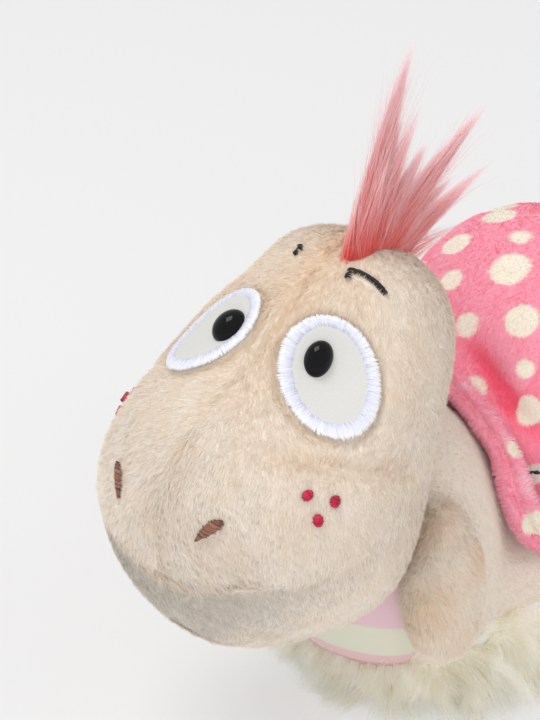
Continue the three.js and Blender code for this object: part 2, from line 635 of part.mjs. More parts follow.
const headRight = new THREE.Group();
headRight.scale.x = -1;
headGroup.add(headRight);
addPair(headGroup, headRight, "head_panel", headLeftPanel, "beigePlush");
headGroup.add(piece("chin_panel", chinPanel, "beigePlush"));
headGroup.add(piece("head_filling", headFill, "filling"));
addPair(headGroup, headRight, "eye_patch", eyePatch, "whiteVelour");
addPair(headGroup, headRight, "eye_border", eyeBorder, "whiteThread");
addPair(headGroup, headRight, "pupil", pupil, "blackPlastic");
addPair(headGroup, headRight, "eye_washer", washer, "washerPlastic");
addPair(headGroup, headRight, "brow", brow, "blackThread");
addPair(headGroup, headRight, "nostril", nostril, "brownThread");
freckles.forEach((freckle, i) => addPair(headGroup, headRight, `freckle_${i + 1}`, freckle, "redThread"));
headGroup.add(piece("hair_tuft", tuft, "coralHair"));
snail.add(headGroup);

const bodyGroup = new THREE.Group();
bodyGroup.name = "body";
const bodyRight = new THREE.Group();
bodyRight.scale.x = -1;
bodyGroup.add(bodyRight);
bodyGroup.add(piece("body_cover", bodyCover, "beigePlush"));
bodyGroup.add(piece("body_filling", bodyFill, "filling"));
bodyGroup.add(piece("belly_panel", bellyPanel, "bellyVelour"));
bodyGroup.add(piece("sole_panel", sole, "soleCloth"));
bodyGroup.add(piece("fur_band", furBand, "whiteFur"));
bodyGroup.add(piece("shell_band", shellBand, "pinkPlush"));
addPair(bodyGroup, bodyRight, "shell_side", shellSide, "pinkPlush");
bodyGroup.add(piece("shell_filling", shellFill, "filling"));
bodyGroup.add(piece("shell_rim", shellRim, "pinkPlush"));
addPair(bodyGroup, bodyRight, "spiral_stitch", spiral, "blackThread");
snail.add(bodyGroup);

const armRight = new THREE.Group();
armRight.scale.x = -1;
const armRightInner = armGroup.clone(false);
armRightInner.name = "right_arm";
armRight.add(armRightInner);
addPair(armGroup, armRightInner, "arm_cover", armCover, "beigePlush");
addPair(armGroup, armRightInner, "arm_filling", armFill, "filling");
snail.add(armGroup);
snail.add(armRight);

export default snail;
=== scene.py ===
# Looks of a stuffed plush snail, in metres, in the frame of its solids: it faces -Y, its left is +X
# and +Z is up. Cloths are sewn and stuffed forms, and pile, fur and hair are real fibres on them.
import math

import bmesh
import bpy
import numpy as np
from mathutils import Matrix, Vector


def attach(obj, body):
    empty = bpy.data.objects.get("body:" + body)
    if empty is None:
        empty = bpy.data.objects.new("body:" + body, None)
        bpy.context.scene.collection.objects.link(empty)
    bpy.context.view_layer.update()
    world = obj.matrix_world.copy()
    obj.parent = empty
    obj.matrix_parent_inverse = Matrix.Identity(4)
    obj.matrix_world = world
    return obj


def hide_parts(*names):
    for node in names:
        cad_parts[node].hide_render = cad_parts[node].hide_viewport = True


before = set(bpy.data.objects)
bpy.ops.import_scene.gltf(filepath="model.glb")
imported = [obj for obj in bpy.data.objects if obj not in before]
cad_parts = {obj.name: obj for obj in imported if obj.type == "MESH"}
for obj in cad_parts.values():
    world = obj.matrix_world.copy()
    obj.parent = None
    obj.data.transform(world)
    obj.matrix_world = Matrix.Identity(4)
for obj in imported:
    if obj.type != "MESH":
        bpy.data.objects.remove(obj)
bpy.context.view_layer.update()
scene = bpy.context.scene
scene.view_settings.view_transform = "Standard"


# Studio: the snail stands on a seamless pale table under a broad overhead softbox, seen with a long
# lens from its left front and above.
head_middle = np.array([0.0, -0.084, 0.092])
view_turn = math.radians(45)
view_rise = math.radians(31)
view_distance = 0.640
picture_left_of_head = 0.0045
picture_above_head = 0.0207
lens_length = 120.6
table_grey = 0.863
table_evenness = 0.5
room_strength = 0.57

towards_camera = Vector((
    math.sin(view_turn) * math.cos(view_rise),
    -math.cos(view_turn) * math.cos(view_rise),
    math.sin(view_rise),
))
picture_right = Vector((0, 0, 1)).cross(towards_camera).normalized()
picture_up = towards_camera.cross(picture_right)
camera = bpy.data.objects.new("camera", bpy.data.cameras.new("camera"))
camera.data.lens = lens_length
camera.location = Vector(head_middle) + towards_camera * view_distance
picture_middle = Vector(head_middle) - picture_right * picture_left_of_head
picture_middle += picture_up * picture_above_head
camera.rotation_euler = (picture_middle - camera.location).to_track_quat("-Z", "Y").to_euler()
scene.collection.objects.link(camera)
scene.camera = camera


def finish_of(name, colour, roughness, sheen=0.0):
    """A plain finish to build on: its node tree and its shader."""
    material = bpy.data.materials.new(name)
    material.use_nodes = True
    shader = material.node_tree.nodes["Principled BSDF"]
    shader.inputs["Base Color"].default_value = (*colour, 1)
    shader.inputs["Roughness"].default_value = roughness
    shader.inputs["Specular IOR Level"].default_value = 0.25
    shader.inputs["Sheen Weight"].default_value = sheen
    return material, material.node_tree, shader


table_form = bmesh.new()
bmesh.ops.create_circle(table_form, cap_ends=True, segments=64, radius=4)
table_mesh = bpy.data.meshes.new("table")
table_form.to_mesh(table_mesh)
table_form.free()
table = bpy.data.objects.new("table", table_mesh)
scene.collection.objects.link(table)
table_finish, table_tree, table_shader = finish_of("pale_table", (0.90, 0.90, 0.90), 0.9)
table_seen = table_tree.nodes.new("ShaderNodeEmission")
table_seen.inputs["Color"].default_value = (table_grey, table_grey, table_grey, 1)
table_ray = table_tree.nodes.new("ShaderNodeLightPath")
table_share = table_tree.nodes.new("ShaderNodeMath")
table_share.operation = "MULTIPLY"
table_share.inputs[1].default_value = table_evenness
table_mix = table_tree.nodes.new("ShaderNodeMixShader")
table_tree.links.new(table_ray.outputs["Is Camera Ray"], table_share.inputs[0])
table_tree.links.new(table_share.outputs["Value"], table_mix.inputs["Fac"])
table_tree.links.new(table_shader.outputs["BSDF"], table_mix.inputs[1])
table_tree.links.new(table_seen.outputs["Emission"], table_mix.inputs[2])
table_tree.links.new(table_mix.outputs["Shader"], table_tree.nodes["Material Output"].inputs["Surface"])
table_mesh.materials.append(table_finish)

room = bpy.data.worlds.new("room")
room.use_nodes = True
scene.world = room
room_tree = room.node_tree
room_light = room_tree.nodes["Background"]
room_light.inputs["Color"].default_value = (1, 1, 1, 1)
room_light.inputs["Strength"].default_value = room_strength
room_seen = room_tree.nodes.new("ShaderNodeBackground")
room_seen.inputs["Color"].default_value = (table_grey, table_grey, table_grey, 1)
ray_kind = room_tree.nodes.new("ShaderNodeLightPath")
room_mix = room_tree.nodes.new("ShaderNodeMixShader")
seen_ray = ray_kind.outputs["Is Camera Ray"]
for other_ray in ("Is Glossy Ray", "Is Transmission Ray"):
    either = room_tree.nodes.new("ShaderNodeMath")
    either.operation = "MAXIMUM"
    room_tree.links.new(seen_ray, either.inputs[0])
    room_tree.links.new(ray_kind.outputs[other_ray], either.inputs[1])
    seen_ray = either.outputs["Value"]
room_tree.links.new(seen_ray, room_mix.inputs["Fac"])
room_tree.links.new(room_light.outputs["Background"], room_mix.inputs[1])
room_tree.links.new(room_seen.outputs["Background"], room_mix.inputs[2])
room_tree.links.new(room_mix.outputs["Shader"], room_tree.nodes["World Output"].inputs["Surface"])


def softbox(name, place, aim, size, power):
    lamp = bpy.data.objects.new(name, bpy.data.lights.new(name, "AREA"))
    lamp.data.shape = "SQUARE"
    lamp.data.size = size
    lamp.data.energy = power
    lamp.location = place
    lamp.rotation_euler = (Vector(aim) - Vector(place)).to_track_quat("-Z", "Y").to_euler()
    scene.collection.objects.link(lamp)
    return lamp


softbox("overhead_softbox", (-0.42, -0.48, 1.7), (0, -0.04, 0.08), 0.8, 11.6)
softbox("side_softbox", (1.1, 0.35, 0.95), (0, 0, 0.08), 0.6, 2.8).visible_glossy = False
softbox("front_softbox", (0.55, -0.95, 0.50), (0, -0.04, 0.05), 0.9, 3.2).visible_glossy = False


# Head cloth: two side panels and a chin panel of beige plush, sewn on a middle seam and a mouth seam
# and stuffed firmly. The cloth lies a pile's height inside the outline of the head.
head_half = np.array([0.044, 0.037, 0.0585])
look_up = math.radians(39.5)
muzzle_swell = 0.0064
eye_waist = 0.0043
crown_spread = 0.017
socket_depth = 0.006
pile_stand = 0.0010
chin_drop = 0.047
chin_climb = 0.038
muzzle_row_height = 0.0021
eye_turn, eye_rise, eye_tilt = 33.0, 20.0, 30.0
eye_half = np.array([0.0087, 0.0122])
border_width = 0.0035
# the right side is stuffed a little fuller below and less above, and its eye sits lower and further in
right_cheek_swell = 0.0040
right_jowl = 0.0026
right_brow_draw = 0.0026
right_eye_drop = 3.0
right_eye_draw = 2.1


def linear(red, green, blue):
    """A colour as seen, 0 to 255, as the light that it sends back."""
    seen = np.array([red, green, blue]) / 255
    return np.where(seen <= 0.04045, seen / 12.92, ((seen + 0.055) / 1.055) ** 2.4)


def hump(value, middle, width):
    """A smooth hump: 1 at its middle, and almost 0 at twice its width."""
    return np.exp(-((value - middle) / width) ** 2)


def fades(value, width):
    """Falls smoothly from 1 to 0 where the value passes 0."""
    return 1 / (1 + np.exp(value / width))


def head_form(direction, grow=0.0):
    """Where the head's outline lies in these directions, before the face is turned up."""
    x, y, z = direction.T
    turn = np.abs(np.degrees(np.arctan2(x, -y)))
    on_right = fades(x, 0.1) * fades(y - 0.1, 0.12)
    muzzle = muzzle_swell * hump(z, -0.5, 0.38)
    muzzle += on_right * right_cheek_swell * hump(z, -0.78, 0.26)
    muzzle -= on_right * right_brow_draw * hump(z, 0.62, 0.16)
    jowl = right_jowl * hump(z, -0.90, 0.18) * fades(x, 0.12)
    waist = eye_waist * hump(z, 0.35, 0.35) * (1 - 0.6 * on_right)
    crown = crown_spread * np.maximum(z, 0) ** 8
    socket = socket_depth * hump(turn, 36, 22) * hump(z, 0.33, 0.3) * (1 - 0.65 * on_right)
    girth = 1 + (muzzle - waist + crown) / head_half[0] - socket / head_half[1]
    half = head_half + grow
    height = half[2] * z * (1 + 0.016 * np.maximum(z, 0) ** 3)
    return np.stack([half[0] * girth * x - jowl, half[1] * girth * y, height], 1)


def turned_up(local):
    """From the upright head to the head as it is carried."""
    x, y, z = local.T
    cosine, sine = math.cos(look_up), math.sin(look_up)
    return np.stack([x, y * cosine + z * sine, z * cosine - y * sine], 1) + head_middle


def upright(world):
    x, y, z = (world - head_middle).T
    cosine, sine = math.cos(look_up), math.sin(look_up)
    return np.stack([x, y * cosine - z * sine, y * sine + z * cosine], 1)


def head_angles(local):
    """Turn round the head from the front and rise above its middle, in degrees."""
    rise = np.degrees(np.arcsin(np.clip(local[:, 2] / (head_half[2] - pile_stand), -1, 1)))
    turn = np.degrees(np.arctan2(local[:, 0] / head_half[0], -local[:, 1] / head_half[1]))
    return turn, rise


def head_surface(turn, rise):
    turn, rise = np.radians(turn), np.radians(rise)
    level = np.cos(rise)
    return head_form(np.stack([level * np.sin(turn), -level * np.cos(turn), np.sin(rise)], 1))


def degree_sizes(turn, rise):
    """Length on the head of one degree of turn and of one degree of rise."""
    ends = head_surface(
        np.array([turn - 0.5, turn + 0.5, turn, turn]), np.array([rise, rise, rise - 0.5, rise + 0.5])
    )
    return np.linalg.norm(ends[1] - ends[0]), np.linalg.norm(ends[3] - ends[2])


def face_shift(rise):
    """The sewn face sits a little to the snail's left, more at the brow than at the muzzle, in degrees."""
    return 0.6 + 3.6 * np.clip((rise + 5) / 20, 0, 1)


def face_place(turn, rise, side):
    """Turn and rise of a place on one side of the face, and the lengths on the head of a degree there. The
    right eye is sewn on a little lower and further in than the left one."""
    drop = right_eye_drop * hump(rise, eye_rise, 15) * (side < 0)
    own_turn, own_rise = side * (turn - right_eye_draw * drop), rise - drop
    across, up = degree_sizes(own_turn, own_rise)
    return own_turn + face_shift(rise), own_rise, across, up


def flat_on_head(local, turn, rise, tilt):
    """Across and up from a place on the face, for points of either side."""
    point_turn, point_rise = head_angles(local)
    x, y = np.empty(len(local)), np.empty(len(local))
    on_left = point_turn > face_shift(rise)
    for side, part in ((1, on_left), (-1, ~on_left)):
        place_turn, place_rise, across, up = face_place(turn, rise, side)
        x[part] = side * (point_turn[part] - place_turn) * across
        y[part] = (point_rise[part] - place_rise) * up
    cosine, sine = math.cos(math.radians(tilt)), math.sin(math.radians(tilt))
    return x * cosine + y * sine, y * cosine - x * sine


def eye_reach(local, margin=0.0):
    """How far points lie from the middle of the nearer eye: 1 on the outer edge of its border."""
    x, y = flat_on_head(local, eye_turn, eye_rise, eye_tilt)
    half = eye_half + border_width + margin
    return np.hypot(x / half[0], y / half[1])


def from_middle_seam(local):
    """Distance across the head from its middle seam."""
    level = np.clip(local[:, 2] / head_half[2], -1, 1)
    rise = np.degrees(np.arcsin(level))
    return local[:, 0] - head_half[0] * np.sqrt(1 - level ** 2) * np.sin(np.radians(face_shift(rise)))


def chin_height(local):
    """Height above the mouth seam, which climbs to both cheeks."""
    turn, _ = head_angles(local)
    return local[:, 2] + chin_drop - chin_climb * np.minimum(np.abs(turn) / 90, 1.06) ** 2.4


def mouth_shows(local):
    """How far the mouth seam shows: fully under the nose, and not on the cheeks."""
    turn, _ = head_angles(local)
    return np.clip((84 - np.abs(turn - 5)) / 34, 0, 1)


def muzzle_rows(local):
    """The knitted rows of the muzzle's plush, broken in places, from -1 to 1."""
    turn, rise = head_angles(local)
    patches = np.sin(turn * 0.47 + 1.9 * np.sin(rise * 0.37)) * np.sin(rise * 0.61 + turn * 0.19 + 1)
    sway = 0.9 * np.sin(turn * 0.16) + 0.5 * np.sin(turn * 0.41 + 2)
    wave = np.sin(2 * math.pi * local[:, 2] / muzzle_row_height + sway)
    return wave * (0.5 + 0.5 * patches) * hump(rise, -30, 20) * hump(turn, 0, 75)


def head_dents(local):
    """How deep seams and creases draw the cloth in."""
    turn, rise = head_angles(local)
    above_chin = chin_height(local)
    middle_depth = 0.0003 + 0.0007 * np.clip((rise + 10) / 20, 0, 1)
    middle_seam = middle_depth * hump(from_middle_seam(local), 0, 0.0012) * (above_chin > 0)
    mouth_seam = 0.0005 * hump(above_chin, 0, 0.0016) + 0.0007 * fades(above_chin, 0.0006)
    mouth_seam *= mouth_shows(local)
    crease_rise = -4 + 9 * (np.abs(turn) - 35) / 50
    along_crease = np.clip((np.abs(turn) - 16) / 16, 0, 1) * np.clip((100 - np.abs(turn)) / 20, 0, 1)
    along_crease *= np.where(turn < 0, 0.25, 1.0)
    crease = 0.0021 * along_crease * hump(rise, crease_rise, 3.2)
    eye_pucker = 0.0010 * hump(eye_reach(local), 1.06, 0.08)
    return middle_seam + mouth_seam + crease + eye_pucker - 0.00028 * muzzle_rows(local)


def points_of(mesh, kind="co"):
    """Places of a mesh's corners, or their normals."""
    points = np.empty(len(mesh.vertices) * 3, np.float32)
    mesh.vertices.foreach_get(kind, points)
    return points.reshape(-1, 3).astype(float)


def put_points(mesh, points):
    mesh.vertices.foreach_set("co", points.astype(np.float32).ravel())
    mesh.update()


def made_piece(name, form, material, body, slot, *nodes):
    """A named piece from a mesh under way. It rides on a body and stands for these solids."""
    mesh = bpy.data.meshes.new(name)
    form.to_mesh(mesh)
    form.free()
    piece = bpy.data.objects.new(name, mesh)
    scene.collection.objects.link(piece)
    mesh.materials.append(material)
    mesh.shade_smooth()
    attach(piece, body)
    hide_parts(*nodes)
    return piece


def multiplied(tree, one, two):
    """A node that multiplies two colours."""
    both = tree.nodes.new("ShaderNodeMix")
    both.data_type = "RGBA"
    both.blend_type = "MULTIPLY"
    both.inputs["Factor"].default_value = 1
    tree.links.new(one, both.inputs["A"])
    tree.links.new(two, both.inputs["B"])
    return both.outputs["Result"]


def noise_on(tree, scale, detail=2):
    """A node's fine noise, which stays on the piece."""
    place = tree.nodes.new("ShaderNodeTexCoord")
    noise = tree.nodes.new("ShaderNodeTexNoise")
    noise.inputs["Scale"].default_value = scale
    noise.inputs["Detail"].default_value = detail
    tree.links.new(place.outputs["Object"], noise.inputs["Vector"])
    return noise.outputs["Fac"]


def toned(tree, pattern, low, high, low_at=0.0, high_at=1.0):
    """A pattern's colours, from one tone to another."""
    tones = tree.nodes.new("ShaderNodeValToRGB")
    for end, colour, position in ((0, low, low_at), (1, high, high_at)):
        tones.color_ramp.elements[end].color = (*colour, 1)
        tones.color_ramp.elements[end].position = position
    tree.links.new(pattern, tones.inputs["Fac"])
    return tones.outputs["Color"]


def raised(tree, shader, pattern, strength, height):
    """Lets a pattern stand in relief."""
    relief = tree.nodes.new("ShaderNodeBump")
    relief.inputs["Strength"].default_value = strength
    relief.inputs["Distance"].default_value = height
    tree.links.new(pattern, relief.inputs["Height"])
    tree.links.new(relief.outputs["Normal"], shader.inputs["Normal"])


def plush_finish(name, tuft_scale, darkest, tuft_height):
    """Dense pile on a knitted back: the colour given to each corner of the cloth, painted light and shade
    included, in fine tufts that stand in relief.
    """
    material, tree, shader = finish_of(name, (0.8, 0.8, 0.8), 0.95, 0.3)
    shader.inputs["Sheen Roughness"].default_value = 0.5
    colour = tree.nodes.new("ShaderNodeVertexColor")
    colour.layer_name = "cloth_colour"
    tufts = noise_on(tree, tuft_scale, 4)
    tones = toned(tree, tufts, darkest, (1, 1, 1), 0.3, 0.62)
    tree.links.new(multiplied(tree, colour.outputs["Color"], tones), shader.inputs["Base Color"])
    raised(tree, shader, tufts, 0.6, tuft_height)
    return material


def coloured(piece, colours):
    """Gives each corner of a cloth its own colour."""
    layer = piece.data.color_attributes.new("cloth_colour", "FLOAT_COLOR", "POINT")
    colours = np.concatenate([colours, np.ones((len(colours), 1))], 1)
    layer.data.foreach_set("color", colours.astype(np.float32).ravel())


def beige_at(warmth):
    """The beige plush, from its pale to its peach parts."""
    warmth = np.clip(warmth, 0, 1)[:, None]
    return linear(243, 236, 227) * (1 - warmth) + linear(238, 217, 193) * warmth


def head_warmth_and_shade(local):
    """How peach the head's plush is: peach by the hair, with painted warm light round the brow and painted
    shade in the creases and seams. The chin is pale.
    """
    turn, rise = head_angles(local)
    brow = 0.45 * hump(rise, 28, 28) * hump(turn, 0, 70)
    hair_root = 0.6 * hump(from_middle_seam(local), 0, 0.007) * np.clip((rise - 25) / 30, 0, 1)
    creases = 0.25 * np.clip(head_dents(local) / 0.0018, 0, 1)
    return 0.26 + brow + hair_root + creases


def chin_shade(local):
    """Painted shade: the chin's plush is made a little darker than the rest, as shade where it faces down.
    """
    return 1 - 0.29 * mouth_shows(local) * fades(chin_height(local), 0.0008)


head_cloth_form = bmesh.new()
bmesh.ops.create_icosphere(head_cloth_form, subdivisions=7, radius=1)
head_directions = np.array([corner.co for corner in head_cloth_form.verts])
head_local = head_form(head_directions, -pile_stand)
inward = head_directions / head_half
inward /= np.linalg.norm(inward, axis=1)[:, None]
head_local -= inward * head_dents(head_local)[:, None]
for corner, place in zip(head_cloth_form.verts, turned_up(head_local)):
    corner.co = place
beige_cloth = plush_finish("beige_cloth", 900, (0.92, 0.90, 0.88), 0.0004)
head_cloth = made_piece(
    "head_cloth", head_cloth_form, beige_cloth, "head", "beige_plush",
    "left_head_panel", "right_head_panel", "chin_panel",
)
# The cloth's colour holds painted warm light round the brow, painted shade in the creases, and the painted
# shade of the chin.
coloured(head_cloth, beige_at(head_warmth_and_shade(head_local)) * chin_shade(head_local)[:, None])


# Head pile: short soft fibres on the head's panels, combed down and out from the middle seam, longer
# on the muzzle and shorn on the chin, parted where the eyes and the stitched marks are.
nostril_turn, nostril_rise, nostril_tilt = 22.0, -30.0, -27.0
nostril_size = np.array([0.0034, 0.0094])
freckle_places = [(47.0, -9.7), (57.0, -8.0), (54.0, -14.0)]
freckle_width = 0.0031
brow_turn, brow_rise, brow_tilt = 29.5, 52.0, -9.0
brow_size = np.array([0.011, 0.0015])
brow_bow = 0.0012
full_share = 1.0


def drift(points, wavelength, seed):
    """Smooth random vectors that change over about this distance."""
    rng = np.random.default_rng(seed)
    total = np.zeros_like(points)
    waves = 16
    for _ in range(waves):
        heading = rng.normal(size=3)
        heading /= np.linalg.norm(heading)
        pitch = 2 * math.pi / (wavelength * rng.uniform(0.7, 1.6))
        total += np.sin(points @ heading * pitch + rng.uniform(0, 6.3))[:, None] * rng.normal(size=3)
    return total * math.sqrt(2 / waves)


def unit(vectors):
    return vectors / np.maximum(np.linalg.norm(vectors, axis=1), 1e-9)[:, None]


def roots_on(cloth, count, rng):
    """Random places on a cloth, evenly spread, and which way the cloth faces there."""
    mesh = cloth.data
    mesh.calc_loop_triangles()
    corners = np.empty(len(mesh.loop_triangles) * 3, np.int32)
    mesh.loop_triangles.foreach_get("vertices", corners)
    corners = corners.reshape(-1, 3)
    points = points_of(mesh)
    facing = points_of(mesh, "normal")
    a, b, c = points[corners].transpose(1, 0, 2)
    area = np.linalg.norm(np.cross(b - a, c - a), axis=1)
    chosen = corners[rng.choice(len(corners), count, p=area / area.sum())]
    one, two = rng.random((2, count))
    over = one + two > 1
    one[over], two[over] = 1 - one[over], 1 - two[over]
    share = np.stack([1 - one - two, one, two], 1)[:, :, None]
    return (points[chosen] * share).sum(1), unit((facing[chosen] * share).sum(1))


def many_alike(name, corners, faces, shades, tint, palette, material, body):
    """One mesh of many small shapes. Each has its own corners and one tint of the palette, from its root
    colour to its tip colour. A face lists corners with their place across and along the tint's strip."""
    count, each = corners.shape[:2]
    listed = np.array([corner for face in faces for corner, _, _ in face])
    across = np.array([place for face in faces for _, place, _ in face])
    along = np.array([place for face in faces for _, _, place in face])
    starts = np.cumsum([0] + [len(face) for face in faces])[:-1]
    mesh = bpy.data.meshes.new(name)
    mesh.vertices.add(count * each)
    mesh.vertices.foreach_set("co", corners.astype(np.float32).ravel())
    mesh.loops.add(count * len(listed))
    number = np.arange(count)[:, None]
    mesh.loops.foreach_set("vertex_index", (number * each + listed).ravel().astype(np.int32))
    mesh.polygons.add(count * len(faces))
    mesh.polygons.foreach_set("loop_start", (number * len(listed) + starts).ravel().astype(np.int32))
    mesh.update(calc_edges=True)
    root, tip = palette[tint, 0], palette[tint, 1]
    colour = root[:, None, :] * (1 - shades)[:, None] + tip[:, None, :] * shades[:, None]
    colour = np.concatenate([colour, np.ones((count, each, 1))], 2)
    mesh.color_attributes.new("fibre_colour", "FLOAT_COLOR", "POINT").data.foreach_set(
        "color", colour.astype(np.float32).ravel()
    )
    strip = np.empty((count, len(listed), 2), np.float32)
    strip[:, :, 0] = (tint[:, None] + 0.1 + 0.8 * across) / len(palette)
    strip[:, :, 1] = 0.02 + 0.96 * along
    mesh.uv_layers.new(name="OFBake").data.foreach_set("uv", strip.ravel())
    piece = bpy.data.objects.new(name, mesh)
    scene.collection.objects.link(piece)
    mesh.materials.append(material)
    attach(piece, body)
    return piece


def fibres(name, paths, across, width, tint, palette, material, body):
    """Flat tapered fibres along paths of a few points each."""
    steps = paths.shape[1]
    share = np.linspace(0, 1, steps)
    half = across[:, None, :] * (width / 2 * (1 - 0.7 * share[:-1]))[None, :, None]
    pairs = np.stack([paths[:, :-1] - half, paths[:, :-1] + half], 2).reshape(len(paths), -1, 3)
    corners = np.concatenate([pairs, paths[:, -1:]], 1)
    faces = []
    for step in range(steps - 2):
        low, high = share[step], share[step + 1]
        here, there = 2 * step, 2 * step + 2
        faces.append([(here, 0, low), (here + 1, 1, low), (there + 1, 1, high), (there, 0, high)])
    last = 2 * (steps - 2)
    faces.append([(last, 0, share[-2]), (last + 1, 1, share[-2]), (last + 2, 0.5, 1)])
    shades = np.append(np.repeat(share[:-1], 2), 1.0)
    return many_alike(name, corners, faces, shades, tint, palette, material, body)


def fibre_finish(name, roughness, sheen, through):
    """Fibres take their colour from the mesh, root to tip, and glow a little when lit from behind."""
    material, tree, shader = finish_of(name, (0.8, 0.8, 0.8), roughness, sheen)
    shader.inputs["Sheen Roughness"].default_value = 0.5
    colour = tree.nodes.new("ShaderNodeVertexColor")
    colour.layer_name = "fibre_colour"
    glow = tree.nodes.new("ShaderNodeBsdfTranslucent")
    both = tree.nodes.new("ShaderNodeMixShader")
    both.inputs["Fac"].default_value = through
    tree.links.new(colour.outputs["Color"], shader.inputs["Base Color"])
    tree.links.new(colour.outputs["Color"], glow.inputs["Color"])
    tree.links.new(shader.outputs["BSDF"], both.inputs[1])
    tree.links.new(glow.outputs["BSDF"], both.inputs[2])
    tree.links.new(both.outputs["Shader"], tree.nodes["Material Output"].inputs["Surface"])
    return material


def tints(root, tip, count, spread, rng):
    """Slightly different lots of one fibre colour, from darker to lighter."""
    lots = []
    for step in np.linspace(-1, 1, count):
        lot = 1 + spread * step + rng.normal(0, spread / 4, 3)
        lots.append([np.clip(root * lot, 0, 1), np.clip(tip * lot, 0, 1)])
    return np.array(lots)


def pick_tint(points, count, wavelength, seed, rng):
    """Which dye lot each fibre is of: soft patches with single fibres mixed in."""
    patch = drift(points, wavelength, seed)[:, 0]
    lot = (count - 1) / 2 * (1 + 0.3 * patch + rng.normal(0, 0.35, len(points)))
    return np.clip(np.rint(lot), 0, count - 1).astype(int)


def combed(roots, facing, comb, lean, length, clump, seed, rng):
    """Tips of a pile that leans along comb, with tufts that draw together, and the fibres' flat side."""
    along = unit(comb - facing * (comb * facing).sum(1)[:, None])
    lean = np.radians(lean + rng.normal(0, 7, len(roots)))
    heading = facing * np.cos(lean)[:, None] + along * np.sin(lean)[:, None]
    heading += clump * drift(roots, 0.0022, seed) + clump * 0.6 * drift(roots, 0.006, seed + 1)
    heading += rng.normal(0, 0.08, roots.shape)
    heading = unit(heading)
    under = (heading * facing).sum(1)
    heading += facing * np.maximum(0.15 - under, 0)[:, None]
    reach = length * rng.uniform(0.7, 1.15, len(roots))
    flat = unit(np.cross(heading, facing) + rng.normal(0, 0.28, roots.shape))
    return roots + heading * reach[:, None], flat


def beige_tint(points, warmth, seed, rng):
    """Which lot of the beige plush each fibre is of, from pale to peach."""
    mixed = warmth + 0.10 * drift(points, 0.012, seed)[:, 0] + rng.normal(0, 0.14, len(points))
    return np.clip(np.rint(mixed * (beige_steps - 1)), 0, beige_steps - 1).astype(int)


beige_steps, shade_steps = 12, 4
# The last four lots are painted shade: the beige darkened, for the chin and for the troughs between knitted
# rows. Each lot's tip is a little lighter than its root, which paints shade deep in the pile.
beige_lots = beige_at(np.linspace(0, 1, beige_steps))
beige_lots = np.concatenate([beige_lots, beige_at(np.linspace(0, 0.3, shade_steps)) * 0.76])
beige_tints = np.stack([beige_lots, np.minimum(beige_lots * 1.05, 1)], 1)
beige_fibre = fibre_finish("beige_fibre", 0.85, 0.25, 0.1)
head_rng = np.random.default_rng(11)
head_roots, head_facing = roots_on(head_cloth, int(270000 * full_share), head_rng)
head_spots = upright(head_roots)
_, rise_of = head_angles(head_spots)
chin_above = chin_height(head_spots)


def within(x, y, size, margin):
    return (x / (size[0] / 2 + margin)) ** 2 + (y / (size[1] / 2 + margin)) ** 2 < 1


bare = eye_reach(head_spots, -0.0004) < 1
bare |= within(*flat_on_head(head_spots, nostril_turn, nostril_rise, nostril_tilt), nostril_size, -0.0002)
for freckle_turn, freckle_rise in freckle_places:
    x, y = flat_on_head(head_spots, freckle_turn, freckle_rise, 0)
    bare |= (np.hypot(x, y) < freckle_width / 2 - 0.0002) & (head_spots[:, 0] > 0)
x, y = flat_on_head(head_spots, brow_turn, brow_rise, brow_tilt)
y = y + brow_bow * (2 * x / brow_size[0]) ** 2
bare |= within(x, y, brow_size, 0.0001) & (head_spots[:, 0] > 0)

off_seam = from_middle_seam(head_spots)
rows = muzzle_rows(head_spots)
seam_shows = mouth_shows(head_spots)
fringe = hump(np.maximum(chin_above, 0), 0, 0.0026) * seam_shows
nose_tuft = hump(off_seam, 0, 0.005) * hump(rise_of, -24, 14)
head_comb = np.stack([
    np.sign(off_seam) * (0.2 + 0.7 * np.abs(off_seam) / head_half[0]) * (1 - fringe),
    np.where(head_spots[:, 1] > 0, 0.5, 0.0),
    np.full(len(head_spots), -1.0),
], 1)
head_comb += 0.3 * drift(head_spots, 0.03, 21)
head_comb = turned_up(head_comb) - head_middle
head_lean = 68 + 18 * rows - 20 * nose_tuft + 4 * fringe
head_length = (0.0016 + 0.0003 * np.clip(-rise_of / 20, 0, 1)) * (1 + 0.3 * rows)
head_length += 0.0010 * fringe + 0.0010 * nose_tuft
head_length = np.where(chin_above < 0, 0.0016 - 0.0004 * seam_shows, head_length)
head_length *= 1 - 0.3 * hump(eye_reach(head_spots), 1, 0.05)
head_tips, head_flat = combed(
    head_roots, head_facing, head_comb, head_lean, head_length, 0.11, 31, head_rng,
)
# Painted light and shade: each fibre's peach carries the painted warm light and crease shade, and fibres on
# the chin and in the troughs between the muzzle's rows take the darkened lots as painted shade.
head_tint = beige_tint(head_roots, head_warmth_and_shade(head_spots), 41, head_rng)
shaded = (chin_above < 0) & (head_rng.random(len(head_roots)) < seam_shows)
shaded |= (rows < -0.25) & (head_rng.random(len(head_roots)) < 0.45)
head_tint = np.where(shaded, beige_steps + head_rng.integers(0, shade_steps, len(head_roots)), head_tint)

for panel_name, on_panel in (
    ("left_head_pile", (off_seam >= 0) & (chin_above >= 0)),
    ("right_head_pile", (off_seam < 0) & (chin_above >= 0)),
    ("chin_pile", chin_above < 0),
):
    grown = on_panel & ~bare
    fibres(
        panel_name, np.stack([head_roots[grown], head_tips[grown]], 1), head_flat[grown], 0.00019,
        head_tint[grown], beige_tints, beige_fibre, "head",
    )


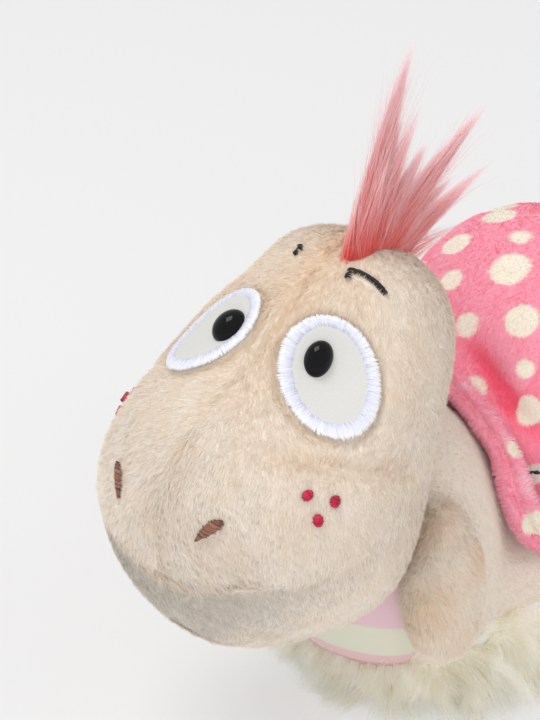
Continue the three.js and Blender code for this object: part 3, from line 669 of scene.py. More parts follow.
# Eye patches: two ovals of shorn white velour laid on the head, under a border of satin stitch that
# draws them down into the pile.
def laid_on_head(flat, turn, rise, tilt, side):
    """Lays points on the head: x across, y up and z off the cloth, from a place on the face."""
    cosine, sine = math.cos(math.radians(tilt)), math.sin(math.radians(tilt))
    place_turn, place_rise, across, up = face_place(turn, rise, side)
    x = flat[:, 0] * cosine - flat[:, 1] * sine
    y = flat[:, 0] * sine + flat[:, 1] * cosine
    turns, rises = place_turn + side * x / across, place_rise + y / up
    run = head_surface(turns + 0.5, rises) - head_surface(turns - 0.5, rises)
    climb = head_surface(turns, rises + 0.5) - head_surface(turns, rises - 0.5)
    return turned_up(head_surface(turns, rises) + unit(np.cross(run, climb)) * flat[:, 2:3])


def spun(form, axis, steps):
    """Turns a line all the way round an axis. Its corners and faces are put in order of place, since the
    turning leaves them in another order each run."""
    bmesh.ops.spin(
        form, geom=form.verts[:] + form.edges[:], cent=(0, 0, 0), axis=axis, angle=2 * math.pi,
        steps=steps, use_merge=True,
    )
    bmesh.ops.remove_doubles(form, verts=form.verts, dist=1e-6)
    bmesh.ops.recalc_face_normals(form, faces=form.faces)
    corners = sorted(form.verts, key=lambda corner: tuple(corner.co))
    number = {corner: index for index, corner in enumerate(corners)}
    rings = []
    for face in form.faces:
        ring = [number[corner] for corner in face.verts]
        first = ring.index(min(ring))
        rings.append(ring[first:] + ring[:first])
    ordered = bmesh.new()
    placed = [ordered.verts.new(corner.co) for corner in corners]
    for ring in sorted(rings):
        ordered.faces.new([placed[index] for index in ring])
    form.free()
    return ordered


def spun_line(line, axis, steps):
    """A round form from points along a line that starts on the axis."""
    form = bmesh.new()
    corners = [form.verts.new(point) for point in line]
    for pair in zip(corners, corners[1:]):
        form.edges.new(pair)
    return spun(form, axis, steps)


def spun_disc(profile, steps):
    """A round form about Z from pairs of radius and height."""
    return spun_line([(radius, 0, height) for radius, height in profile], (0, 0, 1), steps)


def moved(form, place):
    """Moves all corners of a mesh under way by one function of their places."""
    points = place(np.array([corner.co for corner in form.verts]))
    for corner, point in zip(form.verts, points):
        corner.co = point
    bmesh.ops.recalc_face_normals(form, faces=form.faces)
    return form


velour, velour_tree, velour_shader = finish_of("white_velour", linear(222, 221, 218), 0.9, 0.3)
velour_nap = noise_on(velour_tree, 2600)
velour_tones = toned(velour_tree, velour_nap, linear(209, 208, 205), linear(223, 222, 219))
velour_tree.links.new(velour_tones, velour_shader.inputs["Base Color"])
raised(velour_tree, velour_shader, velour_nap, 0.25, 0.0002)

both_sides = ((1, "left"), (-1, "right"))
patch_profile = [(0, 1)] + [(step / 12, 1) for step in range(1, 13)] + [(1, 0)]
patch_top = 0.0002
patch_crown = 0.0005
patch_sink = 0.0008
patch_tuck = 0.0008


def patch_place(side):
    def place(points):
        round_share = np.hypot(points[:, 0], points[:, 1])
        reach = eye_half + border_width - patch_tuck
        dome = patch_top + patch_crown * (1 - round_share ** 2)
        lift = np.where(points[:, 2] > 0.5, dome, -patch_sink)
        flat = np.stack([points[:, 0] * reach[0], points[:, 1] * reach[1], lift], 1)
        return laid_on_head(flat, eye_turn, eye_rise, eye_tilt, side)
    return place


for side, side_name in both_sides:
    eye_patch = moved(spun_disc(patch_profile, 56), patch_place(side))
    patch = made_piece(
        f"{side_name}_eye_cloth", eye_patch, velour, "head", "white_velour", f"{side_name}_eye_patch",
    )


# Eye borders: white satin stitch across the edge of each patch, with painted lilac shade at the stitches'
# inner ends, where they dip into the patch. The stitches are close together and plump, and hold the patch to
# the head.
thread_sides = 5
thread_rings = [(0.0, 0.45), (0.14, 1.0), (0.5, 1.0), (0.86, 1.0), (1.0, 0.45)]


def thread_faces():
    faces = []
    for ring in range(len(thread_rings) - 1):
        low, high = thread_rings[ring][0], thread_rings[ring + 1][0]
        for side in range(thread_sides):
            here, there = ring * thread_sides, (ring + 1) * thread_sides
            after = (side + 1) % thread_sides
            left, right = side / thread_sides, (side + 1) / thread_sides
            faces.append([(here + side, left, low), (here + after, right, low),
                          (there + after, right, high), (there + side, left, high)])
    first_end = list(range(thread_sides))[::-1]
    last_end = [(len(thread_rings) - 1) * thread_sides + side for side in range(thread_sides)]
    for end, level in ((first_end, 0.05), (last_end, 0.95)):
        angles = [2 * math.pi * i / thread_sides for i in range(thread_sides)]
        faces.append([(c, 0.5 + 0.3 * math.cos(a), level + 0.04 * math.sin(a)) for c, a in zip(end, angles)])
    return faces


def sewn(name, starts, ends, lay, width, height, tint, palette, material, body, slot, *nodes):
    """Stitches from starts to ends on flat cloth, each a plump thread that rises between its ends."""
    run = ends - starts
    hand = np.linalg.det(lay(np.eye(3) * 1e-4) - lay(np.zeros((1, 3))))
    sideways = unit(np.stack([-run[:, 1], run[:, 0]], 1)) * math.copysign(1, hand)
    rings = []
    for share, plump in thread_rings:
        for side in range(thread_sides):
            angle = 2 * math.pi * side / thread_sides
            place = starts + run * share + sideways * (math.cos(angle) * plump * width / 2)
            lift = height * math.sin(math.pi * share) ** 0.5 + 0.4 * width * plump * math.sin(angle)
            rings.append(np.concatenate([place, np.full((len(place), 1), lift)], 1))
    flat = np.stack(rings, 1)
    corners = lay(flat.reshape(-1, 3)).reshape(flat.shape)
    shades = np.repeat([(1 - share) ** 1.5 for share, _ in thread_rings], thread_sides)
    piece = many_alike(name, corners, thread_faces(), shades, tint, palette, material, body)
    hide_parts(*nodes)
    return piece


def thread_finish(name, roughness):
    material = fibre_finish(name, roughness, 0.0, 0.0)
    shader = material.node_tree.nodes["Principled BSDF"]
    shader.inputs["Specular IOR Level"].default_value = 0.5
    shader.inputs["Anisotropic"].default_value = 0.4
    return material


def face_lay(turn, rise, tilt, side, lift=0.0):
    return lambda flat: laid_on_head(flat + np.array([0, 0, lift]), turn, rise, tilt, side)


def brow_lay(side):
    """The right brow is pulled tight, so that only its inner end shows in the pile."""
    def lay(flat):
        pulled = np.clip(flat[:, 0] / brow_size[0] + 0.45, 0, 0.3) / 0.3 * (side < 0)
        lift = flat[:, 2] - 0.0006 - 0.0016 * pulled
        sunk = np.stack([flat[:, 0], flat[:, 1], lift], 1)
        return laid_on_head(sunk, brow_turn, brow_rise, brow_tilt, side)
    return lay


white_thread = thread_finish("white_thread", 0.45)
# Each stitch runs from white at its outer end to lilac at its inner end: the lilac is painted shade where
# the stitch dips to the patch.
border_palette = np.array([
    [linear(242, 242, 246), linear(206, 207, 232)],
    [linear(244, 244, 246), linear(224, 224, 240)],
    [linear(232, 232, 243), linear(188, 190, 224)],
])
border_stitches = 900
for side, side_name in both_sides:
    border_rng = np.random.default_rng(51 + side)
    stitch_angle = np.linspace(0, 2 * math.pi, border_stitches, endpoint=False)
    stitch_angle += border_rng.normal(0, 0.002, border_stitches)
    slant = border_rng.normal(0.02, 0.015, border_stitches)
    inner = eye_half + border_rng.normal(0.0001, 0.00020, (border_stitches, 1))
    outer = eye_half + border_width + border_rng.normal(-0.0003, 0.00020, (border_stitches, 1))
    starts = np.stack([np.cos(stitch_angle), np.sin(stitch_angle)], 1) * inner
    ends = np.stack([np.cos(stitch_angle + slant), np.sin(stitch_angle + slant)], 1) * outer
    border_tint = border_rng.choice(3, border_stitches, p=[0.4, 0.4, 0.2])
    sewn(
        f"{side_name}_eye_stitching", starts, ends, face_lay(eye_turn, eye_rise, eye_tilt, side, 0.0001),
        0.00040, 0.0004, border_tint, border_palette, white_thread,
        "head", "white_thread", f"{side_name}_eye_border",
    )


# Pupils: glossy black moulded ovals set on the patches, each on a stem that goes through the cloth. A
# pale plastic washer locks the stem inside the head.
pupil_half = np.array([0.0039, 0.0050])
pupil_dome = 0.0034
pupil_base = 0.0005
pupil_turn, pupil_rise = eye_turn - 8, eye_rise + 2
right_pupil_draw = 2.2
gloss_black, gloss_tree, gloss_shader = finish_of("gloss_black", (0.003, 0.003, 0.004), 0.06)
gloss_shader.inputs["Specular IOR Level"].default_value = 0.17
gloss_range = gloss_tree.nodes.new("ShaderNodeMapRange")
gloss_range.inputs["To Min"].default_value = 0.04
gloss_range.inputs["To Max"].default_value = 0.08
gloss_tree.links.new(noise_on(gloss_tree, 900), gloss_range.inputs["Value"])
gloss_tree.links.new(gloss_range.outputs["Result"], gloss_shader.inputs["Roughness"])

dome_profile = [(0, 1)]
for step in range(1, 13):
    sweep = math.pi / 2 * step / 12
    dome_profile.append((math.sin(sweep), math.cos(sweep)))
dome_profile.append((1.0, -0.25))
dome_profile.append((0.0, -0.25))


def pupil_place(side):
    def place(points):
        lift = pupil_base + pupil_dome * points[:, 2]
        flat = np.stack([points[:, 0] * pupil_half[0], points[:, 1] * pupil_half[1], lift], 1)
        own_turn = pupil_turn - right_pupil_draw * (side < 0)
        return laid_on_head(flat, own_turn, pupil_rise, eye_tilt / 3, side)
    return place


for side, side_name in both_sides:
    pupil = moved(spun_disc(dome_profile, 40), pupil_place(side))
    made_piece(
        f"{side_name}_pupil_dome", pupil, gloss_black, "head", "black_plastic", f"{side_name}_pupil",
    )

washer_plastic, washer_tree, washer_shader = finish_of("washer_plastic", linear(222, 222, 218), 0.45)
raised(washer_tree, washer_shader, noise_on(washer_tree, 1500), 0.1, 0.001)
for _, side_name in both_sides:
    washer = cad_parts[f"{side_name}_eye_washer"]
    washer.data.materials.clear()
    washer.data.materials.append(washer_plastic)


# Stitched marks on the face: black arched brows with a small hook, brown nostrils that narrow towards
# the mouth, and three crimson freckles on each cheek, all in satin stitch.
mark_thread = thread_finish("mark_thread", 0.5)
brow_stitches, nostril_stitches, freckle_stitches = 24, 40, 9
mark_sink = -0.0006
right_freckles_round = 11.0


def plain_tints(*colours):
    """Dye lots of a thread, each of one colour from end to end."""
    return np.array([[linear(*colour)] * 2 for colour in colours])


black_tints = plain_tints((22, 20, 22), (44, 42, 46), (12, 11, 12))
brown_tints = plain_tints((112, 72, 56), (134, 88, 68), (160, 110, 88), (94, 58, 46))
red_tints = plain_tints((190, 24, 62), (206, 40, 80), (150, 14, 48))

for side, side_name in both_sides:
    mark_rng = np.random.default_rng(61)
    along_brow = np.linspace(-0.5, 0.5, brow_stitches)
    brow_reach = brow_size[1] * (0.62 - 0.40 * (along_brow + 0.2) ** 2)
    middle = np.stack([along_brow * brow_size[0], -brow_bow * (2 * along_brow) ** 2], 1)
    slope = np.stack([0.8 + mark_rng.normal(0, 0.2, brow_stitches), np.ones(brow_stitches)], 1)
    half_stitch = unit(slope) * brow_reach[:, None] * mark_rng.uniform(0.8, 1.3, (brow_stitches, 1))
    hook = np.array([[-0.46, -0.0024], [-0.44, -0.0030], [-0.41, -0.0034]]) * np.array([brow_size[0], 1])
    hook_half = np.array([[0.0005, 0.0010], [0.0006, 0.0008], [0.0006, 0.0005]])
    sewn(
        f"{side_name}_brow_stitching", np.concatenate([middle - half_stitch, hook - hook_half]),
        np.concatenate([middle + half_stitch, hook + hook_half]), brow_lay(side), 0.0005, 0.0011,
        mark_rng.integers(0, 3, brow_stitches + len(hook)), black_tints, mark_thread,
        "head", "black_thread", f"{side_name}_brow",
    )
    down_nostril = np.linspace(0.5, -0.5, nostril_stitches)
    nostril_round = np.sqrt(np.clip(1 - (2 * down_nostril) ** 2, 0.02, 1))
    nostril_reach = nostril_size[0] / 2 * nostril_round * (1 + 0.75 * down_nostril)
    middle = np.stack([np.zeros(nostril_stitches), down_nostril * nostril_size[1]], 1)
    slope = np.stack([np.ones(nostril_stitches), 0.5 + mark_rng.normal(0, 0.12, nostril_stitches)], 1)
    half_stitch = unit(slope) * nostril_reach[:, None] * mark_rng.uniform(0.85, 1.2, (nostril_stitches, 1))
    sewn(
        f"{side_name}_nostril_stitching", middle - half_stitch, middle + half_stitch,
        face_lay(nostril_turn, nostril_rise, nostril_tilt, side, mark_sink), 0.00042, 0.0009,
        mark_rng.integers(0, 4, nostril_stitches), brown_tints, mark_thread,
        "head", "brown_thread", f"{side_name}_nostril",
    )
    for number, (freckle_turn, freckle_rise) in enumerate(freckle_places, 1):
        heading = 0.6 + 0.5 * number
        lines = np.linspace(-0.44, 0.44, freckle_stitches) * freckle_width
        reach = np.sqrt(np.maximum((freckle_width / 2) ** 2 - lines ** 2, 1e-8))
        reach *= mark_rng.uniform(0.85, 1.1, freckle_stitches)
        over = np.array([math.cos(heading), math.sin(heading)])
        up = np.array([-over[1], over[0]])
        middle = lines[:, None] * over
        own_turn = freckle_turn + right_freckles_round * (side < 0)
        sewn(
            f"{side_name}_freckle_stitching_{number}",
            middle - reach[:, None] * up, middle + reach[:, None] * up,
            face_lay(own_turn, freckle_rise, 0, side, mark_sink), 0.00048, 0.0012,
            mark_rng.integers(0, 3, freckle_stitches), red_tints, mark_thread,
            "head", "red_thread", f"{side_name}_freckle_{number}",
        )


# Hair tuft: long straight coral fibres, caught in the crown seam in a row of locks that fan out and
# thin to dusty pink tips.
tuft_rise = 74.0
tuft_offset = np.array([0.0068, 0.0016, -0.0075])
lock_depth, lock_width = 0.0058, 0.0034
lock_bow = 0.11
lock_fibres = 1500
hair_rng = np.random.default_rng(71)
# each lock: place along the seam, lean back and to the side in degrees, length, share of the fibres
locks = [
    (-0.004, -26, -1, 0.0600, 1.5), (-0.004, -23, 0, 0.040, 1.2), (-0.002, -21, 3, 0.047, 0.3),
    (0.000, -12, 3, 0.037, 1.2), (0.001, -1, 2, 0.039, 0.8), (0.002, 3, 3, 0.055, 1.1),
    (0.003, 10, 4, 0.034, 0.9), (0.004, 22, 2, 0.050, 0.25), (0.004, 24, 1, 0.039, 0.7),
    (-0.003, -15, -2, 0.032, 0.9), (-0.0055, -37, -3, 0.026, 0.10), (-0.0055, -48, 4, 0.020, 0.07),
    (-0.005, -31, 8, 0.034, 0.10), (0.005, 36, 5, 0.034, 0.10),
]
tuft_place = head_surface(np.array([0.0]), np.array([tuft_rise]))[0]
hair_steps = 7
hair_paths = []
for along, back, aside, length, share in locks:
    count = int(lock_fibres * share * full_share)
    back, aside = math.radians(back), math.radians(aside)
    axis = np.array([math.sin(aside) * math.cos(back), math.sin(back), math.cos(back) * math.cos(aside)])
    behind = unit(np.array([[0, axis[2], -axis[1]]]))[0]
    beside = np.cross(behind, axis)
    angle = hair_rng.uniform(0, 2 * math.pi, count)
    ring = np.sqrt(hair_rng.random(count))
    spread_back, spread_side = ring * np.cos(angle), ring * np.sin(angle)
    reach = length * (1 - 0.70 * hair_rng.random(count) ** 0.8 * (0.45 + 0.55 * ring))
    start = tuft_place + tuft_offset + np.array([0, along, 0])
    stray = hair_rng.normal(0, 1, (count, 2))
    stray *= (0.006 + 0.095 * hair_rng.random(count) ** 7)[:, None]
    path = []
    for step in np.linspace(0, 1, hair_steps):
        risen = reach * step / length
        narrow = 0.10 + 0.90 * (1 - risen) ** 1.25
        backwards = spread_back * lock_depth * narrow + lock_bow * length * risen ** 2
        backwards += stray[:, 0] * reach * step ** 2
        sideways = spread_side * lock_width * narrow + stray[:, 1] * reach * step ** 2
        place = start + axis * (reach * step)[:, None]
        path.append(place + behind * backwards[:, None] + beside * sideways[:, None])
    hair_paths.append(np.stack(path, 1))
hair_paths = np.concatenate(hair_paths)
hair_count = len(hair_paths)
hair_world = turned_up(hair_paths.reshape(-1, 3)).reshape(hair_paths.shape)
hair_flat = unit(np.cross(hair_world[:, -1] - hair_world[:, 0], hair_rng.normal(size=(hair_count, 3))))
coral_tints = tints(linear(246, 105, 94), linear(255, 238, 240), 10, 0.05, hair_rng)
coral_fibre = fibre_finish("coral_fibre", 0.6, 0.1, 0.42)
hair = fibres(
    "hair_tuft_fibres", hair_world, hair_flat, 0.00014, hair_rng.integers(0, len(coral_tints), hair_count),
    coral_tints, coral_fibre, "head",
)
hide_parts("hair_tuft")


# Body cloth: one stuffed form of chest and long foot in smooth beige plush, flat on the sole. It is
# white below, where the fur is sewn on.
chest_middle = np.array([0.0, -0.044, 0.046])
chest_half = np.array([0.036, 0.033, 0.044])
foot_middle = np.array([0.0, 0.0, 0.014])
foot_half = np.array([0.039, 0.070, 0.038])
foot_fullness = 2.6
foot_front = -0.045
foot_keep = 0.70
body_floor = 0.0019
body_pile_stand = 0.0006
body_warmth = 0.30
fur_white = linear(254, 252, 245)


def settled(piece):
    """Makes what the modifiers show the piece's own mesh."""
    bpy.context.view_layer.update()
    shown = piece.evaluated_get(bpy.context.evaluated_depsgraph_get())
    mesh = bpy.data.meshes.new_from_object(shown)
    old = piece.data
    piece.modifiers.clear()
    piece.data = mesh
    bpy.data.meshes.remove(old)


stuffing_frames = 20


def stuffed_tight(piece, held, pressure, most, levels=1):
    """Blows the cloth up between its held seams, by no more than the given distance, then smooths it."""
    rest = points_of(piece.data)
    seams = piece.vertex_groups.new(name="seams")
    seams.add([int(i) for i in np.nonzero(held(rest))[0]], 1.0, "REPLACE")
    cloth = piece.modifiers.new("stuffing", "CLOTH")
    cloth.settings.quality = 5
    cloth.settings.use_pressure = True
    cloth.settings.uniform_pressure_force = pressure
    cloth.settings.effector_weights.gravity = 0
    cloth.settings.vertex_group_mass = "seams"
    cloth.point_cache.frame_end = stuffing_frames
    for step in range(1, stuffing_frames + 1):
        scene.frame_set(step)
    shown = piece.evaluated_get(bpy.context.evaluated_depsgraph_get())
    swollen = points_of(shown.data)
    piece.modifiers.clear()
    scene.frame_set(1)
    move = swollen - rest
    far = np.linalg.norm(move, axis=1)
    move *= (np.minimum(far, most) / np.maximum(far, 1e-9))[:, None]
    put_points(piece.data, rest + move)
    piece.vertex_groups.clear()
    smooth = piece.modifiers.new("smooth", "SUBSURF")
    smooth.levels = levels
    smooth.render_levels = levels
    settled(piece)


def rounded(directions, half, fullness):
    """A stuffed form, rounder at fullness 2 and boxier above it."""
    size = (np.abs(directions) ** fullness).sum(1) ** (-1 / fullness)
    return directions * size[:, None] * half


def drawn_in(points, keep):
    """Draws the front end of the foot in under the chest, to this share of its reach."""
    front = np.minimum(points[:, 1] - foot_front, 0)
    return points - np.array([0, 1, 0]) * (front * (1 - keep))[:, None]


def foot_place(points):
    return drawn_in(rounded(points, foot_half - body_pile_stand, foot_fullness) + foot_middle, foot_keep)


body_form = bmesh.new()
bmesh.ops.create_icosphere(body_form, subdivisions=5, radius=1)
moved(body_form, lambda p: rounded(p, chest_half - body_pile_stand, 2.0) + chest_middle)
foot_form = bmesh.new()
bmesh.ops.create_icosphere(foot_form, subdivisions=5, radius=1)
moved(foot_form, foot_place)
foot_mesh = bpy.data.meshes.new("foot")
foot_form.to_mesh(foot_mesh)
foot_form.free()
body_form.from_mesh(foot_mesh)
smooth_beige = plush_finish("smooth_beige", 1600, (0.92, 0.91, 0.90), 0.0002)
body_cloth = made_piece("body_cloth", body_form, smooth_beige, "torso", "beige_plush", "body_cover")
body_join = body_cloth.modifiers.new("join", "REMESH")
body_join.mode = "VOXEL"
body_join.voxel_size = 0.004
body_ease = body_cloth.modifiers.new("ease", "SMOOTH")
body_ease.iterations = 6
settled(body_cloth)


def on_floor(piece, height):
    points = points_of(piece.data)
    points[:, 2] = np.maximum(points[:, 2], height)
    put_points(piece.data, points)


on_floor(body_cloth, body_floor)
stuffed_tight(body_cloth, lambda p: p[:, 2] < body_floor + 0.002, 3.0, 0.0012)
on_floor(body_cloth, body_floor)
body_cloth.data.shade_smooth()


def fur_edge(points):
    """Height on the body up to which the fur grows."""
    back = (-0.078, -0.062, -0.046, -0.036, 0.07)
    height = (0.0175, 0.0165, 0.0190, 0.0265, 0.0270)
    return np.interp(points[:, 1], back, height)


body_points = points_of(body_cloth.data)
body_white = fades(body_points[:, 2] - fur_edge(body_points) + 0.001, 0.0008)[:, None]
body_beige = beige_at(np.full(len(body_points), body_warmth))
coloured(body_cloth, body_beige * (1 - body_white) + fur_white * body_white)


# Body pile: very short smooth fibres, combed back and down, above the fur. None grow in the neck, where
# the head is sewn on.
neck_margin = 0.006


def on_head_inside(points, margin):
    """Whether points lie inside the head, by at least the margin."""
    local = upright(points)
    level = np.clip(local[:, 2] / head_half[2], -1, 1)
    ring = np.sqrt(np.maximum(1 - level ** 2, 0))
    sideways = np.hypot(local[:, 0] / (head_half[0] - margin), local[:, 1] / (head_half[1] - margin))
    return (sideways < ring) & (np.abs(level) < 1)


body_rng = np.random.default_rng(81)
body_roots, body_facing = roots_on(body_cloth, int(130000 * full_share), body_rng)
seen = (body_roots[:, 2] > fur_edge(body_roots)) & ~on_head_inside(body_roots, neck_margin)
body_roots, body_facing = body_roots[seen], body_facing[seen]
body_comb = np.array([0.0, 0.6, -1.0]) + 0.2 * drift(body_roots, 0.03, 82)
body_tips, body_flat = combed(body_roots, body_facing, body_comb, 66, 0.0011, 0.10, 83, body_rng)
body_tint = beige_tint(body_roots, body_warmth, 84, body_rng)
fibres(
    "body_pile", np.stack([body_roots, body_tips], 1), body_flat, 0.00018, body_tint, beige_tints,
    beige_fibre, "torso",
)


# Belly panel: shorn velour with soft dyed stripes, laid over the front of the chest. It is sewn round its
# edge, and painted shade darkens its lowest edge, where it curves under into the fur.
belly_turn = 58.0
belly_top, belly_bottom = 14.0, -46.0
belly_lift = 0.0012


def chest_surface(turn, rise, lift):
    turn, rise = np.radians(turn), np.radians(rise)
    way = np.stack([np.cos(rise) * np.sin(turn), -np.cos(rise) * np.cos(turn), np.sin(rise)], 1)
    return way * chest_half + unit(way / chest_half) * lift[:, None] + chest_middle


def belly_place(points):
    turn = belly_turn * points[:, 0]
    rise = (belly_top + belly_bottom) / 2 + (belly_top - belly_bottom) / 2 * points[:, 1]
    edge = np.maximum(np.abs(points[:, 0]), np.abs(points[:, 1])) ** 10
    return chest_surface(turn, rise, belly_lift * (1 - 1.4 * edge))


striped_velour, stripe_tree, stripe_shader = finish_of("striped_velour", linear(226, 190, 190), 0.85, 0.4)
stripe_place = stripe_tree.nodes.new("ShaderNodeTexCoord")
stripe_parts = stripe_tree.nodes.new("ShaderNodeSeparateXYZ")
stripe_range = stripe_tree.nodes.new("ShaderNodeMapRange")
stripe_range.inputs["From Min"].default_value = 0.012
stripe_range.inputs["From Max"].default_value = 0.062
stripe_ramp = stripe_tree.nodes.new("ShaderNodeValToRGB")
stripe_ramp.color_ramp.interpolation = "EASE"
# The lowest bands darken to red-brown: painted shade where the panel curves under into the fur. The others
# are the dyed stripes.
stripe_and_shade_bands = [
    (0.08, linear(140, 78, 68)), (0.115, linear(214, 160, 156)), (0.14, linear(236, 198, 200)),
    (0.20, linear(236, 198, 200)), (0.23, linear(228, 228, 208)),
    (0.44, linear(228, 228, 208)), (0.47, linear(236, 202, 212)), (0.72, linear(236, 202, 212)),
    (0.76, linear(242, 232, 200)), (1.00, linear(242, 232, 200)),
]
stripe_ramp.color_ramp.elements[0].color = (*stripe_and_shade_bands[0][1], 1)
stripe_ramp.color_ramp.elements[1].color = (*stripe_and_shade_bands[-1][1], 1)
for position, colour in stripe_and_shade_bands[1:-1]:
    stripe_ramp.color_ramp.elements.new(position).color = (*colour, 1)
stripe_tree.links.new(stripe_place.outputs["Object"], stripe_parts.inputs["Vector"])
stripe_tree.links.new(stripe_parts.outputs["Z"], stripe_range.inputs["Value"])
stripe_tree.links.new(stripe_range.outputs["Result"], stripe_ramp.inputs["Fac"])
stripe_tree.links.new(stripe_ramp.outputs["Color"], stripe_shader.inputs["Base Color"])
raised(stripe_tree, stripe_shader, noise_on(stripe_tree, 2400), 0.25, 0.0002)

belly_form = bmesh.new()
bmesh.ops.create_grid(belly_form, x_segments=48, y_segments=32, size=1)
moved(belly_form, belly_place)
belly = made_piece("belly_cloth", belly_form, striped_velour, "torso", "striped_velour", "belly_panel")


# Sole: a flat oval of knitted cloth under the foot, with a soft turned edge. It is sewn on
# round that edge and closes the stuffed body.
sole_half = (0.033, 0.064)
sole_thick = 0.0015
sole_form = bmesh.new()
bmesh.ops.create_circle(sole_form, cap_ends=True, segments=72, radius=1)
bmesh.ops.scale(sole_form, vec=(*sole_half, 1), verts=sole_form.verts)
sole_walls = bmesh.ops.extrude_face_region(sole_form, geom=sole_form.faces[:])
sole_top = [part for part in sole_walls["geom"] if isinstance(part, bmesh.types.BMVert)]
bmesh.ops.translate(sole_form, vec=(0, 0, sole_thick), verts=sole_top)
bmesh.ops.recalc_face_normals(sole_form, faces=sole_form.faces)
sole_rim = [edge for edge in sole_form.edges if abs(edge.verts[0].co.z - edge.verts[1].co.z) < 1e-6]
bmesh.ops.bevel(
    sole_form, geom=sole_rim, offset=0.0005, segments=3, profile=0.5, affect="EDGES", material=-1,
)
sole = made_piece("sole_cloth", sole_form, smooth_beige, "torso", "sole_cloth", "sole_panel")
coloured(sole, beige_at(np.full(len(sole.data.vertices), 0.15)))


# Fur band: long soft off-white fibres round the foot, on a thick white backing, in drooping clumps
# that spread on the table.
fur_sink = 0.0012
fur_tuck, fur_front_tuck = 0.0055, 0.005
fur_keep = 0.76
fur_length = 0.0125
fur_widest = 0.0588
low_fibres, high_fibres = 27000, 17000
fur_rng = np.random.default_rng(91)
fur_back = plush_finish("fur_back", 420, (0.97, 0.96, 0.92), 0.001)
fur_form = bmesh.new()
fur_form.from_mesh(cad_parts["fur_band"].data)
bmesh.ops.remove_doubles(fur_form, verts=fur_form.verts, dist=1e-6)
fur_form.normal_update()
for corner in fur_form.verts:
    away = Vector((corner.co.x / foot_half[0] ** 2, corner.co.y / foot_half[1] ** 2, 0)).normalized()
    tuck = fur_tuck + fur_front_tuck * min(max((-0.03 - corner.co.y) / 0.025, 0), 1)
    corner.co -= corner.normal * (fur_sink if corner.normal.dot(away) > 0 else -tuck)
moved(fur_form, lambda p: drawn_in(p, fur_keep))
fur_cloth = made_piece("fur_band_cloth", fur_form, fur_back, "torso", "white_fur", "fur_band")
fur_ease = fur_cloth.modifiers.new("ease", "SMOOTH")
fur_ease.iterations = 3
fur_round = fur_cloth.modifiers.new("round", "SUBSURF")
fur_round.levels = 2
fur_round.render_levels = 2
settled(fur_cloth)
fur_cloth.data.shade_smooth()
fur_points = points_of(fur_cloth.data)
fur_tufts = 0.0008 * drift(fur_points, 0.008, 98)[:, 0] + 0.0004 * drift(fur_points, 0.0035, 99)[:, 0]
fur_normals = points_of(fur_cloth.data, "normal")
put_points(fur_cloth.data, fur_points + fur_normals * (fur_tufts - 0.0006)[:, None])
on_floor(fur_cloth, 0.0012)
coloured(fur_cloth, np.tile(fur_white, (len(fur_points), 1)))


def away_from_foot(points):
    """Level headings away from the foot's long oval."""
    return unit(points / foot_half ** 2 * np.array([1, 1, 0]))


low_roots, low_facing = roots_on(fur_cloth, int(80000 * full_share), fur_rng)
outer = ((low_facing * away_from_foot(low_roots)).sum(1) > -0.1) & (low_roots[:, 2] > 0.0018)
high_roots, high_facing = roots_on(body_cloth, int(340000 * full_share), fur_rng)
fur_top = fur_edge(high_roots) + 0.0012 * drift(high_roots, 0.010, 96)[:, 0]
upper = (high_roots[:, 2] > 0.008) & (high_roots[:, 2] < fur_top)
fur_roots = np.concatenate([low_roots[outer][:low_fibres], high_roots[upper][:high_fibres]])
fur_facing = np.concatenate([low_facing[outer][:low_fibres], high_facing[upper][:high_fibres]])
fur_count = len(fur_roots)
fur_clump = drift(fur_roots, 0.014, 92) * 0.30 + drift(fur_roots, 0.0055, 93) * 0.20
fur_rise = np.clip((fur_roots[:, 2] - 0.008) / 0.014, 0, 1)
fur_heading = fur_facing * 0.22 + away_from_foot(fur_roots) * 0.5
fur_heading += np.array([0, 0, 0.14]) * fur_rise[:, None]
fur_heading = unit(fur_heading + fur_clump + fur_rng.normal(0, 0.06, (fur_count, 3)))
fur_front = np.clip((-0.040 - fur_roots[:, 1]) / 0.02, 0, 1)
fur_reach = fur_length * fur_rng.uniform(0.6, 1.1, fur_count)
fur_reach *= 1 + 0.14 * drift(fur_roots, 0.012, 94)[:, 0]
fur_tail = np.clip((fur_roots[:, 1] + 0.005) / 0.02, 0, 1)
fur_reach *= 1 - 0.25 * fur_front - 0.16 * fur_tail
fur_bend = 0.16 * drift(fur_roots, 0.010, 97)
fur_spread = np.abs(fur_roots + (fur_heading + fur_bend) * fur_reach[:, None])[:, 0]
fur_reach /= np.maximum(fur_spread / fur_widest, 1) ** 5
fur_steps = 6
fur_path = []
for step in np.linspace(0, 1, fur_steps):
    place = fur_roots + (fur_heading + fur_bend * step) * (fur_reach * step)[:, None]
    place[:, 2] -= (0.75 - 0.25 * fur_rise) * fur_reach * step ** 2
    place[:, 2] = np.maximum(place[:, 2], 0.0006 + 0.0012 * fur_rng.random(fur_count))
    fur_path.append(place)
fur_path = np.stack(fur_path, 1)
fur_flat = unit(np.cross(fur_heading, fur_facing) + fur_rng.normal(0, 0.3, (fur_count, 3)))
fur_tints = tints(linear(255, 251, 240), linear(255, 255, 252), 10, 0.02, fur_rng)
fur_fibre = fibre_finish("fur_fibre", 0.8, 1.0, 0.7)
fur_tint = pick_tint(fur_roots, len(fur_tints), 0.012, 95, fur_rng)
fur_angle = np.arctan2(fur_roots[:, 1], fur_roots[:, 0] * 2)
for number, (low, high) in enumerate(((-4, -1.57), (-1.57, 0), (0, 1.57), (1.57, 4)), 1):
    part = (fur_angle >= low) & (fur_angle < high)
    fibres(
        f"fur_band_fibres_{number}", fur_path[part], fur_flat[part], 0.00018, fur_tint[part], fur_tints,
        fur_fibre, "torso",
    )


